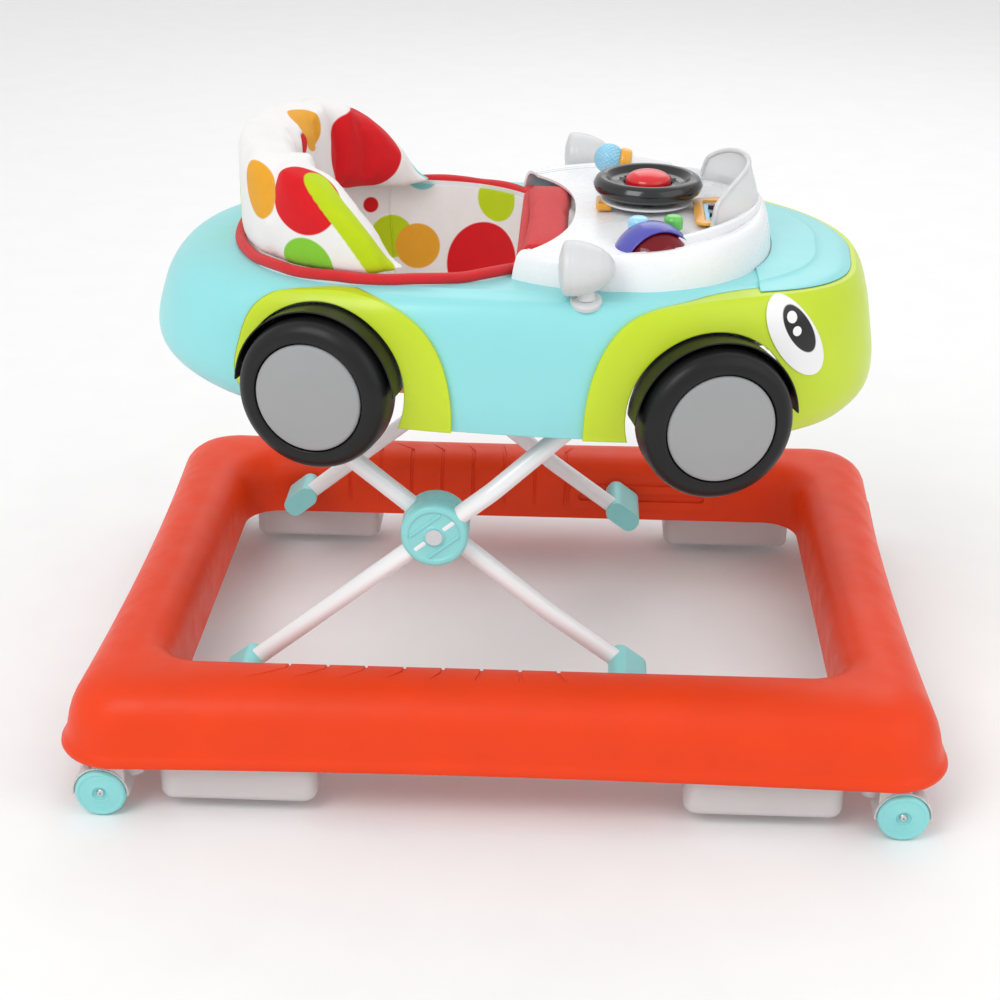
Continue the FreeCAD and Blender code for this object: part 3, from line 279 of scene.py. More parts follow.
def knot(tree, kind, settings=(), **inputs):
    """A shader node; an input is a value or another node's output."""
    item = tree.nodes.new(kind)
    for key, value in dict(settings).items():
        setattr(item, key, value)
    for key, value in inputs.items():
        socket = item.inputs[int(key[1:])] if key[0] == "i" and key[1:].isdigit() else (
            item.inputs[key.replace("_", " ")])
        if isinstance(value, bpy.types.NodeSocket):
            tree.links.new(value, socket)
        else:
            socket.default_value = value
    return item


def noise(tree, where, scale, detail=3.0):
    """Noise over a finish; gives a value round a half."""
    return knot(tree, "ShaderNodeTexNoise", Vector=where, Scale=scale, Detail=detail).outputs["Fac"]


def ranged(tree, value, low, high, to_low, to_high):
    """A value carried over from one range to another."""
    return knot(tree, "ShaderNodeMapRange", i0=value, i1=low, i2=high, i3=to_low, i4=to_high).outputs[0]


def mixed(tree, factor, first, second):
    """Two colours mixed by a factor."""
    item = knot(tree, "ShaderNodeMix", {"data_type": "RGBA"}, i0=factor, i6=first, i7=second)
    return item.outputs[2]


def rgba(colour, shade=1.0):
    """A colour made lighter or darker, with its alpha at one."""
    return (*(min(1, part * shade) for part in colour[:3]), 1)


def blank(name):
    """A new material, its nodes, its shader and its object coordinates."""
    material = bpy.data.materials.new(name)
    material.use_nodes = True
    tree = material.node_tree
    where = knot(tree, "ShaderNodeTexCoord").outputs["Object"]
    return material, tree, tree.nodes["Principled BSDF"], where


def bumped(tree, shader, height, strength, distance, edge=0.0):
    """Raise a shader by a height, with its sharp edges rounded in the light when edge is set."""
    bump = knot(tree, "ShaderNodeBump", Height=height, Strength=strength, Distance=distance)
    if edge:
        rounding = knot(tree, "ShaderNodeBevel", {"samples": 4}, Radius=edge)
        tree.links.new(rounding.outputs[0], bump.inputs["Normal"])
    tree.links.new(bump.outputs[0], shader.inputs["Normal"])


def moulded(name, colour, rough=0.35, grain=1400.0, depth=0.12, mottle=0.05, sheen=0.3,
            clear=0.0, glow=0.0, edge=0.0, wear=0.16, gloss=0.5):
    """Moulded plastic: fine grain, patchy roughness, faint colour drift and rubbed edges."""
    material, tree, shader, where = blank(name)
    drift = noise(tree, where, 14.0)
    base = mixed(tree, ranged(tree, drift, 0.3, 0.7, 0, 1), rgba(colour, 1 - mottle),
                 rgba(colour, 1 + mottle))
    edges = knot(tree, "ShaderNodeNewGeometry").outputs["Pointiness"]
    rubbed = mixed(tree, ranged(tree, edges, 0.54, 0.62, 0, wear), base, rgba(colour, 1.35))
    tree.links.new(rubbed, shader.inputs["Base Color"])
    fine = noise(tree, where, grain, 4.0)
    scuffs = noise(tree, where, 46.0, 5.0)
    tree.links.new(ranged(tree, scuffs, 0.35, 0.65, rough * 0.88, rough * 1.14),
                   shader.inputs["Roughness"])
    bumped(tree, shader, fine, depth, 0.0004, edge)
    shader.inputs["Specular IOR Level"].default_value = gloss
    shader.inputs["Coat Weight"].default_value = sheen * 0.3
    shader.inputs["Coat Roughness"].default_value = 0.2
    if clear:
        shader.inputs["Transmission Weight"].default_value = clear
        shader.inputs["IOR"].default_value = 1.25
    if glow:
        shader.inputs["Subsurface Weight"].default_value = glow
        shader.inputs["Subsurface Radius"].default_value = (0.02, 0.02, 0.02)
        shader.inputs["Subsurface Scale"].default_value = 0.5
    return material


def tinted(name, colour, rough):
    """Clear tinted plastic."""
    material, tree, shader, where = blank(name)
    drift = noise(tree, where, 30.0)
    tree.links.new(mixed(tree, drift, rgba(colour, 0.8), rgba(colour, 1.1)), shader.inputs["Base Color"])
    tree.links.new(ranged(tree, drift, 0.3, 0.7, rough, rough + 0.05), shader.inputs["Roughness"])
    shader.inputs["Transmission Weight"].default_value = 0.75
    shader.inputs["IOR"].default_value = 1.4
    return material


def metal(name, colour, rough):
    """Turned steel with fine speckled wear."""
    material, tree, shader, where = blank(name)
    shader.inputs["Metallic"].default_value = 1.0
    fine = noise(tree, where, 900.0, 4.0)
    tree.links.new(mixed(tree, fine, rgba(colour, 0.85), rgba(colour, 1.1)), shader.inputs["Base Color"])
    tree.links.new(ranged(tree, fine, 0.3, 0.7, rough, rough + 0.15), shader.inputs["Roughness"])
    bumped(tree, shader, fine, 0.15, 0.0002)
    return material


def cloth_bump(tree, shader, where, thread, strength):
    """Crossed threads and the soft wrinkles of sewn cotton."""
    split = knot(tree, "ShaderNodeSeparateXYZ", Vector=where)
    lines = []
    for first, second in (("X", "Z"), ("Y", "Z")):
        total = knot(tree, "ShaderNodeMath", {"operation": "ADD"}, i0=split.outputs[first],
                     i1=split.outputs[second]).outputs[0]
        wave = knot(tree, "ShaderNodeMath", {"operation": "MULTIPLY"}, i0=total,
                    i1=2 * math.pi / thread).outputs[0]
        lines.append(knot(tree, "ShaderNodeMath", {"operation": "SINE"}, i0=wave).outputs[0])
    weave = knot(tree, "ShaderNodeMath", {"operation": "MULTIPLY"}, i0=lines[0], i1=lines[1]).outputs[0]
    creases = ranged(tree, noise(tree, where, 42.0, 4.0), 0.3, 0.7, 0, 6)
    height = knot(tree, "ShaderNodeMath", {"operation": "ADD"}, i0=weave, i1=creases).outputs[0]
    bumped(tree, shader, height, strength, 0.0006)


def cotton(name, ground, spots):
    """White cotton printed with large spots; each spot is a centre, a radius and a colour."""
    material, tree, shader, where = blank(name)
    drift = noise(tree, where, 60.0)
    printed = mixed(tree, drift, rgba(ground, 0.93), rgba(ground, 1.0))
    for centre, radius, colour in spots:
        away = knot(tree, "ShaderNodeVectorMath", {"operation": "DISTANCE"}, i0=where,
                    i1=centre).outputs["Value"]
        inside = ranged(tree, away, radius, radius - 0.0012, 0, 1)
        shade = mixed(tree, drift, rgba(colour, 0.9), rgba(colour, 1.05))
        printed = mixed(tree, inside, printed, shade)
    tree.links.new(printed, shader.inputs["Base Color"])
    tree.links.new(ranged(tree, drift, 0, 1, 0.82, 0.95), shader.inputs["Roughness"])
    shader.inputs["Sheen Weight"].default_value = 0.08
    shader.inputs["Specular IOR Level"].default_value = 0.25
    cloth_bump(tree, shader, where, 0.0011, 0.35)
    return material


def woven(name, colour):
    """Plain woven binding."""
    material, tree, shader, where = blank(name)
    drift = noise(tree, where, 90.0)
    tree.links.new(mixed(tree, drift, rgba(colour, 0.82), rgba(colour, 1.1)),
                   shader.inputs["Base Color"])
    tree.links.new(ranged(tree, drift, 0, 1, 0.75, 0.92), shader.inputs["Roughness"])
    shader.inputs["Sheen Weight"].default_value = 0.2
    cloth_bump(tree, shader, where, 0.0009, 0.4)
    return material


def oval_mask(tree, where, centre, half_length, half_width, slant):
    """1 inside an oval that is seen from the side; slant is how far it slants down to the front."""
    split = knot(tree, "ShaderNodeSeparateXYZ", Vector=where)
    squares = []
    for along_x, along_z, half in ((math.cos(slant), -math.sin(slant), half_length),
                                   (math.sin(slant), math.cos(slant), half_width)):
        offset = -(centre[0] * along_x + centre[1] * along_z)
        part_x = knot(tree, "ShaderNodeMath", {"operation": "MULTIPLY_ADD"}, i0=split.outputs["X"],
                      i1=along_x / half, i2=offset / half).outputs[0]
        whole = knot(tree, "ShaderNodeMath", {"operation": "MULTIPLY_ADD"}, i0=split.outputs["Z"],
                     i1=along_z / half, i2=part_x).outputs[0]
        squares.append(knot(tree, "ShaderNodeMath", {"operation": "MULTIPLY"}, i0=whole,
                            i1=whole).outputs[0])
    total = knot(tree, "ShaderNodeMath", {"operation": "ADD"}, i0=squares[0], i1=squares[1]).outputs[0]
    return ranged(tree, total, 1.06, 0.94, 0, 1)


def printed_eye(name):
    """White plate with a printed black pupil and two highlights."""
    material, tree, shader, where = blank(name)
    low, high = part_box("eye_inserts")
    x, z = (low.x + high.x) / 2, (low.z + high.z) / 2
    slant = math.radians(58)
    drift = noise(tree, where, 20.0)
    base = mixed(tree, drift, (0.84, 0.84, 0.85, 1), (0.90, 0.90, 0.90, 1))
    for centre, half_length, half_width, colour in (
            ((x + 0.003, z + 0.006), 0.024, 0.0095, (0.006, 0.006, 0.007, 1)),
            ((x - 0.004, z + 0.017), 0.0052, 0.0040, (0.9, 0.9, 0.9, 1)),
            ((x + 0.001, z + 0.005), 0.0042, 0.0036, (0.9, 0.9, 0.9, 1))):
        base = mixed(tree, oval_mask(tree, where, centre, half_length, half_width, slant), base, colour)
    tree.links.new(base, shader.inputs["Base Color"])
    tree.links.new(ranged(tree, drift, 0.3, 0.7, 0.18, 0.26), shader.inputs["Roughness"])
    bumped(tree, shader, noise(tree, where, 1500.0), 0.03, 0.0003)
    return material


FINISHES = {}


def finish(name):
    """A finish by its slot name, made when it is first asked for."""
    if name not in FINISHES:
        FINISHES[name] = RECIPES[name](name)
    return FINISHES[name]


def spots():
    """Printed spots on the seat: centre, radius, colour."""
    red, lime, green = colours().red, colours().lime, colours().dot_green
    amber, teal = colours().amber, colours().teal
    table = [
        ((-0.169, -0.141, 0.494), 0.032, red), ((-0.172, -0.146, 0.434), 0.028, green),
        ((-0.222, -0.118, 0.492), 0.030, amber), ((-0.192, 0.047, 0.505), 0.022, amber),
        ((-0.197, 0.022, 0.497), 0.012, red), ((-0.148, 0.103, 0.472), 0.040, red),
        ((-0.096, 0.150, 0.440), 0.018, teal), ((-0.145, 0.137, 0.410), 0.008, red),
        ((-0.125, 0.134, 0.380), 0.021, lime), ((-0.100, 0.134, 0.371), 0.022, amber),
        ((-0.035, 0.117, 0.361), 0.039, red), ((-0.023, 0.123, 0.422), 0.022, lime),
        ((0.048, -0.048, 0.424), 0.014, teal), ((-0.250, 0.060, 0.480), 0.040, teal),
        ((-0.246, -0.020, 0.470), 0.036, lime), ((-0.170, 0.158, 0.500), 0.034, lime),
        ((-0.120, -0.100, 0.330), 0.040, amber), ((-0.020, -0.110, 0.340), 0.036, teal),
        ((-0.130, 0.060, 0.305), 0.036, red),
    ]
    wing_edge = [(-0.157, -0.128, 0.505), (-0.143, -0.142, 0.491), (-0.130, -0.148, 0.475),
                 (-0.117, -0.150, 0.457), (-0.105, -0.148, 0.439)]
    for step in range(15):
        table.append((tuple(spline(wing_edge, step / 14)), 0.0125, lime))
    return [(centre, radius, tuple(colour)) for centre, radius, colour in table]


RECIPES = {
    "ring_orange": lambda n: moulded(n, colours().orange, 0.42, 1700, 0.16, 0.04, sheen=0.1, gloss=0.22),
    "clear_white": lambda n: moulded(n, (0.88, 0.84, 0.84), 0.42, 900, 0.08, 0.02, clear=0.35, glow=0.5),
    "teal": lambda n: moulded(n, colours().teal, 0.33),
    "tube_white": lambda n: moulded(n, (0.84, 0.85, 0.86), 0.24, 2200, 0.06, 0.02, sheen=1.0),
    "pin_steel": lambda n: metal(n, (0.66, 0.66, 0.68), 0.25),
    "body_aqua": lambda n: moulded(n, colours().aqua, 0.34, 1500, 0.09, 0.02, edge=0.0012),
    "panel_lime": lambda n: moulded(n, colours().lime, 0.33, 1500, 0.09, 0.03, edge=0.0016),
    # black of the tyres, also put on the wheel-arch liners as painted shade
    "wheel_black": lambda n: moulded(n, (0.010, 0.010, 0.010), 0.36, 1300, 0.15, 0.2, sheen=0.1, wear=0.06,
                                     gloss=0.25),
    "hubcap_grey": lambda n: moulded(n, (0.33, 0.335, 0.34), 0.5, 2600, 0.45, 0.03, gloss=0.35),
    "dash_white": lambda n: moulded(n, (0.86, 0.87, 0.89), 0.28, 1500, 0.05, 0.015, wear=0.0),
    "screen_milky": lambda n: moulded(n, (0.93, 0.94, 0.95), 0.34, 900, 0.06, 0.02, clear=0.35, glow=0.3,
                                      wear=0.0),
    "toy_black": lambda n: moulded(n, (0.008, 0.008, 0.009), 0.14, 1500, 0.03, 0.2, sheen=1.0),
    "toy_red": lambda n: moulded(n, colours().red, 0.2, 1500, 0.04, sheen=1.0),
    "dome_red": lambda n: tinted(n, (0.50, 0.008, 0.03), 0.05),
    "toy_purple": lambda n: moulded(n, (0.075, 0.075, 0.42), 0.22, 1500, 0.04, sheen=1.0),
    "toy_blue": lambda n: moulded(n, (0.33, 0.68, 0.90), 0.22, 1500, 0.04, sheen=1.0),
    "toy_green": lambda n: moulded(n, (0.13, 0.55, 0.10), 0.22, 1500, 0.04, sheen=1.0),
    "toy_orange": lambda n: moulded(n, colours().amber, 0.25, 1500, 0.04, sheen=1.0),
    "mirror_grey": lambda n: moulded(n, (0.64, 0.65, 0.655), 0.38, 1900, 0.12, 0.02),
    "chassis_white": lambda n: moulded(n, (0.74, 0.75, 0.76), 0.45, 1200, 0.12, 0.02),
    "eye_white": printed_eye,
    "seat_fabric": lambda n: cotton(n, (0.93, 0.91, 0.90), spots()),
    "trim_red": lambda n: woven(n, colours().red),
}


# ---------------------------------------------------------------- sizes and colours


class WalkerColours(bpy.types.PropertyGroup):
    """Colours of the walker's plastics and prints."""

    orange: FloatVectorProperty(name="Ring", description="Base ring", subtype="COLOR",
                                default=(0.80, 0.050, 0.006), min=0, max=1)
    aqua: FloatVectorProperty(name="Body", description="Car body", subtype="COLOR",
                              default=(0.27, 0.70, 0.72), min=0, max=1)
    lime: FloatVectorProperty(name="Panels", description="Fenders and nose", subtype="COLOR",
                              default=(0.54, 0.70, 0.010), min=0, max=1)
    teal: FloatVectorProperty(name="Fittings", description="Hub discs and casters", subtype="COLOR",
                              default=(0.26, 0.68, 0.68), min=0, max=1)
    red: FloatVectorProperty(name="Red", description="Binding, red spots and horn", subtype="COLOR",
                             default=(0.72, 0.010, 0.016), min=0, max=1)
    amber: FloatVectorProperty(name="Amber", description="Amber spots and frame", subtype="COLOR",
                               default=(0.86, 0.40, 0.03), min=0, max=1)
    dot_green: FloatVectorProperty(name="Green", description="Green spots", subtype="COLOR",
                                   default=(0.25, 0.62, 0.04), min=0, max=1)


class WalkerSizes(bpy.types.PropertyGroup):
    """Sizes of the pieces that are added to the frame."""

    piping: FloatProperty(name="Piping", description="Radius of the seat's red piping",
                          default=0.0050, unit="LENGTH", min=0.001, max=0.008)
    ring_wall: FloatProperty(name="Ring wall", description="Wall of the base ring", default=0.003,
                             unit="LENGTH", min=0.001, max=0.006)
    groove_depth: FloatProperty(name="Groove depth", description="Finger grooves on the long rails",
                                default=0.0018, unit="LENGTH", min=0, max=0.004)
    puff: FloatProperty(name="Puff", description="How far the back cushion swells", default=0.008,
                        unit="LENGTH", min=0, max=0.02)


# ---------------------------------------------------------------- base ring

# where each finger groove starts along the long rails
RING_GROOVES = [-0.183 + 0.0327 * number for number in range(8)]


def corner_stations():
    """Degrees of the stations round one corner's arc."""
    return [90 * k / 12 for k in range(13)]


def ring_station_list():
    """(quarter, kind, value) once round the ring; 'arc' gives degrees, 'side' a share."""
    stations = []
    for quarter in range(4):
        stations += [(quarter, "arc", degrees) for degrees in corner_stations()]
        if quarter % 2 == 0:
            shares = long_side_shares()
            if quarter == 2:
                shares = [1 - share for share in reversed(shares)]
        else:
            shares = [k / 16 for k in range(1, 16)]
        stations += [(quarter, "side", share) for share in shares]
    return stations + stations[:1]


def long_side_shares():
    """Shares along a long side, from +X to -X, with close pairs at each groove's edges."""
    half = INNER_HALF_X - INNER_CORNER
    places = [half * (1 - 2 * k / 34) for k in range(1, 34)]
    grooves = []
    for start in RING_GROOVES:
        grooves += [start - 0.0006, start, start + 0.0024, start + 0.0030]
    places = [x for x in places if all(abs(x - groove) > 0.0035 for groove in grooves)]
    return [(half - x) / (2 * half) for x in sorted(places + grooves, reverse=True)]


INNER_HALF_X, INNER_HALF_Y, INNER_CORNER = 0.290, 0.209, 0.034
OUTER_HALF_X, OUTER_HALF_Y, OUTER_CORNER, WAIST = 0.375, 0.304, 0.052, 0.006
SIGNS = [(1, 1), (-1, 1), (-1, -1), (1, -1)]


def rim_point(station, half_x, half_y, corner, waist):
    """A point of a rounded rectangle whose sides dip in by waist."""
    quarter, kind, value = station

    def arc(which, degrees):
        sign_x, sign_y = SIGNS[which % 4]
        turn = math.radians(90 * which + degrees)
        return Vector((sign_x * (half_x - corner) + corner * math.cos(turn),
                       sign_y * (half_y - corner) + corner * math.sin(turn), 0))

    if kind == "arc":
        return arc(quarter, value)
    start, end = arc(quarter, 90), arc(quarter + 1, 0)
    point = start.lerp(end, value)
    inward = Vector((-math.cos(math.radians(90 * quarter + 90)),
                     -math.sin(math.radians(90 * quarter + 90)), 0))
    return point + inward * waist * 4 * value * (1 - value)


# inset from the lip or reach out from the opening, height; first outside, then the opening
OUTER_ROWS = [(0.0042, 0.0500), (0.0010, 0.0503), (0.0, 0.0530), (0.0006, 0.0560), (0.0028, 0.0586),
              (0.0046, 0.0625), (0.0060, 0.0690), (0.0078, 0.0780), (0.0104, 0.0865), (0.0142, 0.0945),
              (0.0196, 0.1015), (0.0268, 0.1075), (0.0360, 0.1116), (0.0480, 0.1138)]
INNER_ROWS = [(0.0270, 0.1140), (0.0180, 0.1122), (0.0110, 0.1080), (0.0060, 0.1022),
              (0.0030, 0.0962), (0.0012, 0.0890), (0.0003, 0.0790), (0.0, 0.0640), (0.0, 0.0500)]
GROOVED = 6


def base_ring():
    """Moulding of the base ring: outer wall, lip, opening and finger grooves."""
    stations = ring_station_list()
    rows = [("outer", *row) for row in OUTER_ROWS] + [("inner", *row) for row in INNER_ROWS]
    depth = sizes().groove_depth
    half_side = INNER_HALF_X - INNER_CORNER

    def place(u, v):
        station = stations[min(len(stations) - 1, round(u * (len(stations) - 1)))]
        number = round(v * (len(rows) - 1))
        kind, reach, height = rows[number]
        if kind == "outer":
            point = rim_point(station, OUTER_HALF_X - reach, OUTER_HALF_Y - reach,
                              OUTER_CORNER - reach * 0.5, WAIST)
        else:
            point = rim_point(station, INNER_HALF_X + reach, INNER_HALF_Y + reach,
                              INNER_CORNER + reach * 0.8, 0)
        point.z = height
        on_long = station[1] == "side" and station[0] % 2 == 0
        if on_long and kind == "inner":
            sign = 1 if station[0] == 0 else -1
            x = sign * half_side * (1 - 2 * station[2])
            point.x = x
            cut_in = any(start - 1e-4 < x < start + 0.0025 for start in RING_GROOVES)
            if cut_in and number - len(OUTER_ROWS) <= GROOVED:
                outward = 1 if point.y > 0 else -1
                steep = min(1, (0.114 - height) / 0.02)
                point.y += outward * depth * steep
                point.z -= depth * (1 - steep)
        return point

    ring = surface("base_ring_moulding", len(stations) - 1, len(rows) - 1, place, 50)
    modify(ring, "SOLIDIFY", thickness=sizes().ring_wall, offset=-1, use_even_offset=True)
    settle(ring, 50)
    return done(ring, "base", finish("ring_orange"), ["base_ring"])


# ---------------------------------------------------------------- operators


class WALKER_OT_base(bpy.types.Operator):
    """Build the base ring and give its fittings their finishes"""

    bl_idname = "walker.base"
    bl_label = "Base"

    def execute(self, context):
        base_ring()
        finish_nodes(finish("ring_orange"), "slot_guides")
        finish_nodes(finish("clear_white"), "stopper_blocks_left", "stopper_blocks_right", "end_stoppers")
        finish_nodes(finish("chassis_white"), "caster_sockets")
        return {"FINISHED"}


# ---------------------------------------------------------------- casters

CORNERS = [(end, side) for end in ("front", "rear") for side in ("left", "right")]


def joint_of(child):
    """The joint that a body turns on."""
    return next(joint for joint in frame["joints"] if joint["child"] == child)


def caster(end, side):
    """Wheel of one caster, with its raised rim, dished face and screw."""
    joint = joint_of(f"caster_roller_{end}_{side}")
    low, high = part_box(f"caster_wheel_{end}_{side}")
    outward = 1 if side == "left" else -1
    middle = (low + high) / 2
    width = high.y - low.y
    radius = (high.z - low.z) / 2
    profile = [(0, -width / 2), (radius * 0.9, -width / 2), (radius, -width / 2 + 0.0025),
               (radius, width / 2 - 0.0025), (radius * 0.92, width / 2),
               (radius * 0.84, width / 2), (radius * 0.80, width / 2 - 0.0008),
               (radius * 0.42, width / 2 - 0.0008), (radius * 0.36, width / 2 - 0.0002),
               (radius * 0.30, width / 2 - 0.0002), (radius * 0.27, width / 2 - 0.003),
               (0, width / 2 - 0.003)]
    wheel = lathe(f"caster_disc_{end}_{side}", rounded(profile, 0.0012, 3), middle, (0, outward, 0))
    done(wheel, joint["child"], finish("teal"), [f"caster_wheel_{end}_{side}"])
    head = [(0, -0.001), (0.0032, -0.001), (0.0036, 0.0004), (0.0026, 0.0016), (0.0010, 0.0018),
            (0.0008, 0.0006), (0, 0.0006)]
    screw = lathe(f"caster_screw_{end}_{side}", head,
                  middle + Vector((0, outward * (width / 2 - 0.003), 0)), (0, outward, 0), 24)
    done(screw, joint["child"], finish("pin_steel"))
    finish_nodes(finish("clear_white"), f"caster_fork_{end}_{side}")


class WALKER_OT_casters(bpy.types.Operator):
    """Build the four casters"""

    bl_idname = "walker.casters"
    bl_label = "Casters"

    def execute(self, context):
        for end, side in CORNERS:
            caster(end, side)
        return {"FINISHED"}


# ---------------------------------------------------------------- scissor frame


def hub(side, sign):
    """Outer hub disc with raised bars that follow the tube, and a rivet in a ring."""
    low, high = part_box("outer_hub_discs")
    radius = (high.z - low.z) / 2
    middle = Vector(((low.x + high.x) / 2, 0, (low.z + high.z) / 2))
    face = sign * high.y
    base = sign * (high.y - 0.017)
    depth = abs(face - base)
    profile = [(0, 0), (radius, 0), (radius, depth - 0.004), (radius * 0.93, depth),
               (radius * 0.78, depth), (radius * 0.74, depth - 0.0012), (radius * 0.34, depth - 0.0012),
               (radius * 0.30, depth), (0, depth)]
    disc = lathe(f"hub_disc_{side}", rounded(profile, 0.002, 3),
                 Vector((middle.x, base, middle.z)), (0, sign, 0), 96)
    pieces = [disc]
    arm = Vector((0.174, 0, 0.139)).normalized()
    tilt = Matrix.Rotation(-math.atan2(arm.z, arm.x), 4, "Y")
    for shift in (-0.0125, 0.0125):
        bar = box_piece("bar", (-0.017, min(face, face - sign * 0.003), shift - 0.0014),
                        (0.017, max(face, face - sign * 0.003), shift + 0.0014), 0.0009, 2)
        bar.data.transform(Matrix.Translation(Vector((middle.x, 0, middle.z))) @ tilt)
        pieces.append(bar)
    done(joined(f"hub_disc_{side}", pieces), "outer_legs", finish("teal"),
         ["outer_hub_discs"])


class WALKER_OT_scissor(bpy.types.Operator):
    """Build the hub discs and give the scissor frame its finishes"""

    bl_idname = "walker.scissor"
    bl_label = "Scissor frame"

    def execute(self, context):
        for side, sign in (("left", 1), ("right", -1)):
            hub(side, sign)
        finish_nodes(finish("tube_white"), "outer_leg_tube", "inner_leg_tube")
        finish_nodes(finish("teal"), "outer_leg_feet", "inner_leg_feet", "inner_hub_discs")
        finish_nodes(finish("pin_steel"), "outer_leg_pins", "inner_leg_pins", "hub_rivets")
        return {"FINISHED"}


# ---------------------------------------------------------------- car body


class WALKER_OT_body(bpy.types.Operator):
    """Give the body and its panels their finishes"""

    bl_idname = "walker.body"
    bl_label = "Car body"

    def execute(self, context):
        finish_nodes(finish("panel_lime"), "rear_fender_left", "rear_fender_right", "front_clip")
        finish_nodes(finish("body_aqua"), "body_shell", "hood_panel")
        finish_nodes(finish("chassis_white"), "chassis_tray", "rear_pivot_brackets",
                     "front_slide_brackets", "wheel_stubs", "seat_ring")
        finish_nodes(finish("eye_white"), "eye_inserts")
        return {"FINISHED"}


# ---------------------------------------------------------------- road wheels


def road_wheel(end, side):
    """Tyre with a soft shoulder and a hubcap with a fine step round its rim."""
    name = f"wheel_{end}_{side}"
    joint = joint_of(name)
    face = Vector(joint["pos_m"])
    outward = Vector(joint["axis"]).normalized()
    radius, width, bore = 0.064, 0.040, 0.046
    tyre = [(0.0062, -width), (radius - 0.008, -width), (radius - 0.0015, -width + 0.003),
            (radius, -width + 0.008), (radius, -0.0125), (radius - 0.0022, -0.0050),
            (radius - 0.0085, -0.0006), (bore + 0.003, 0), (bore + 0.0006, -0.0008),
            (bore + 0.0004, -0.005), (0.0062, -0.005)]
    piece = lathe(f"road_{name}", rounded(tyre, 0.004, 5), face, outward, 96, 40)
    done(piece, name, finish("wheel_black"), [f"tyre_{end}_{side}"])
    cap = [(0, -0.004), (bore - 0.0006, -0.004), (bore - 0.0006, -0.0012), (bore - 0.0022, 0.0002),
           (bore - 0.006, 0.0008), (bore * 0.5, 0.0020), (0, 0.0024)]
    disc = lathe(f"hubcap_disc_{end}_{side}", rounded(cap, 0.002, 3), face, outward, 96, 40)
    done(disc, name, finish("hubcap_grey"), [f"hubcap_{end}_{side}"])


def painted_shade_liner(end, side):
    """Black liner over a road wheel, the upper half of a curved skirt and its back, that is painted shade in
    the arch round the tyre.
    """
    joint = joint_of(f"wheel_{end}_{side}")
    face = Vector(joint["pos_m"])
    outward = Vector(joint["axis"]).normalized()
    profile = [(0.0085, -0.0435), (0.064, -0.0435), (0.0672, -0.0415), (0.0684, -0.036), (0.0692, -0.013)]
    shade_liner = lathe(f"painted_shade_liner_{end}_{side}", rounded(profile, 0.003, 3), face, outward, 72)
    only(shade_liner)
    bpy.ops.object.mode_set(mode="EDIT")
    bpy.ops.mesh.select_all(action="SELECT")
    bpy.ops.mesh.bisect(plane_co=(0, 0, face.z + 0.004), plane_no=(0, 0, 1), clear_inner=True)
    bpy.ops.object.mode_set(mode="OBJECT")
    modify(shade_liner, "SOLIDIFY", thickness=0.0012, offset=0)
    settle(shade_liner)
    # the black finish here is painted shade for the dark gap round the tyre; the real liner is likely moulded
    # like the body
    done(shade_liner, "car", finish("wheel_black"))


class WALKER_OT_wheels(bpy.types.Operator):
    """Build the four road wheels"""

    bl_idname = "walker.wheels"
    bl_label = "Road wheels"

    def execute(self, context):
        for end, side in CORNERS:
            road_wheel(end, side)
            # the liner over each wheel is black as painted shade in its arch
            painted_shade_liner(end, side)
        return {"FINISHED"}


# ---------------------------------------------------------------- dashboard


def strip(name, stations, thickness, smooth=50):
    """A curved sheet between a lower and an upper line, with a wall of the given thickness."""

    def place(u, v):
        low, high = stations[round(u * (len(stations) - 1))]
        return low.lerp(high, v)

    piece = surface(name, len(stations) - 1, 12, place, smooth)
    modify(piece, "SOLIDIFY", thickness=thickness, offset=0)
    modify(piece, "BEVEL", width=thickness * 0.35, segments=2, limit_method="ANGLE")
    return settle(piece, smooth)


def screen_line(share):
    """Foot and top of the windscreen, from its right end to its left end."""
    low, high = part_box("windscreen")
    middle_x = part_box("steering_wheel")[0].x + 0.048
    radius = high.x - middle_x
    turn = math.radians(58) * (2 * share - 1)
    arch = max(0.0, 1 - abs(2 * share - 1) ** 2.4) ** 0.55
    foot = Vector((middle_x + radius * math.cos(turn), radius * math.sin(turn), low.z + 0.001))
    rise = (high.z - low.z - 0.001) * (0.06 + 0.94 * arch)
    lean = -0.012 * arch
    return foot, foot + Vector((lean, 0, rise))


def windscreen():
    """Milky pane with a bead along its top."""
    stations = [screen_line(k / 72) for k in range(73)]
    pane = strip("windscreen_pane", stations, 0.0026)
    bead = pipe("bead", [top for _, top in stations[::4]], 0.0022, 10)
    done(joined("windscreen_pane", [pane, bead]), "car", finish("screen_milky"),
         ["windscreen"])


TRAY_FOOT = 0.405
TRAY_HALF_X, TRAY_HALF_Y = 0.140, 0.160
TRAY_SLOPE = 3
TRAY_POWER = 2.2
TRAY_WALL = 0.0025
# share of the dashboard's height, share of its foot's size: up its wall and over to its middle
TRAY_ROWS = [(0.0, 1.0), (0.22, 0.999), (0.45, 0.990), (0.66, 0.979), (0.82, 0.966), (0.93, 0.952),
             (0.99, 0.930), (1.0, 0.905), (0.985, 0.880), (0.965, 0.862), (0.955, 0.84), (0.955, 0.60),
             (0.955, 0.30), (0.955, 0.0)]


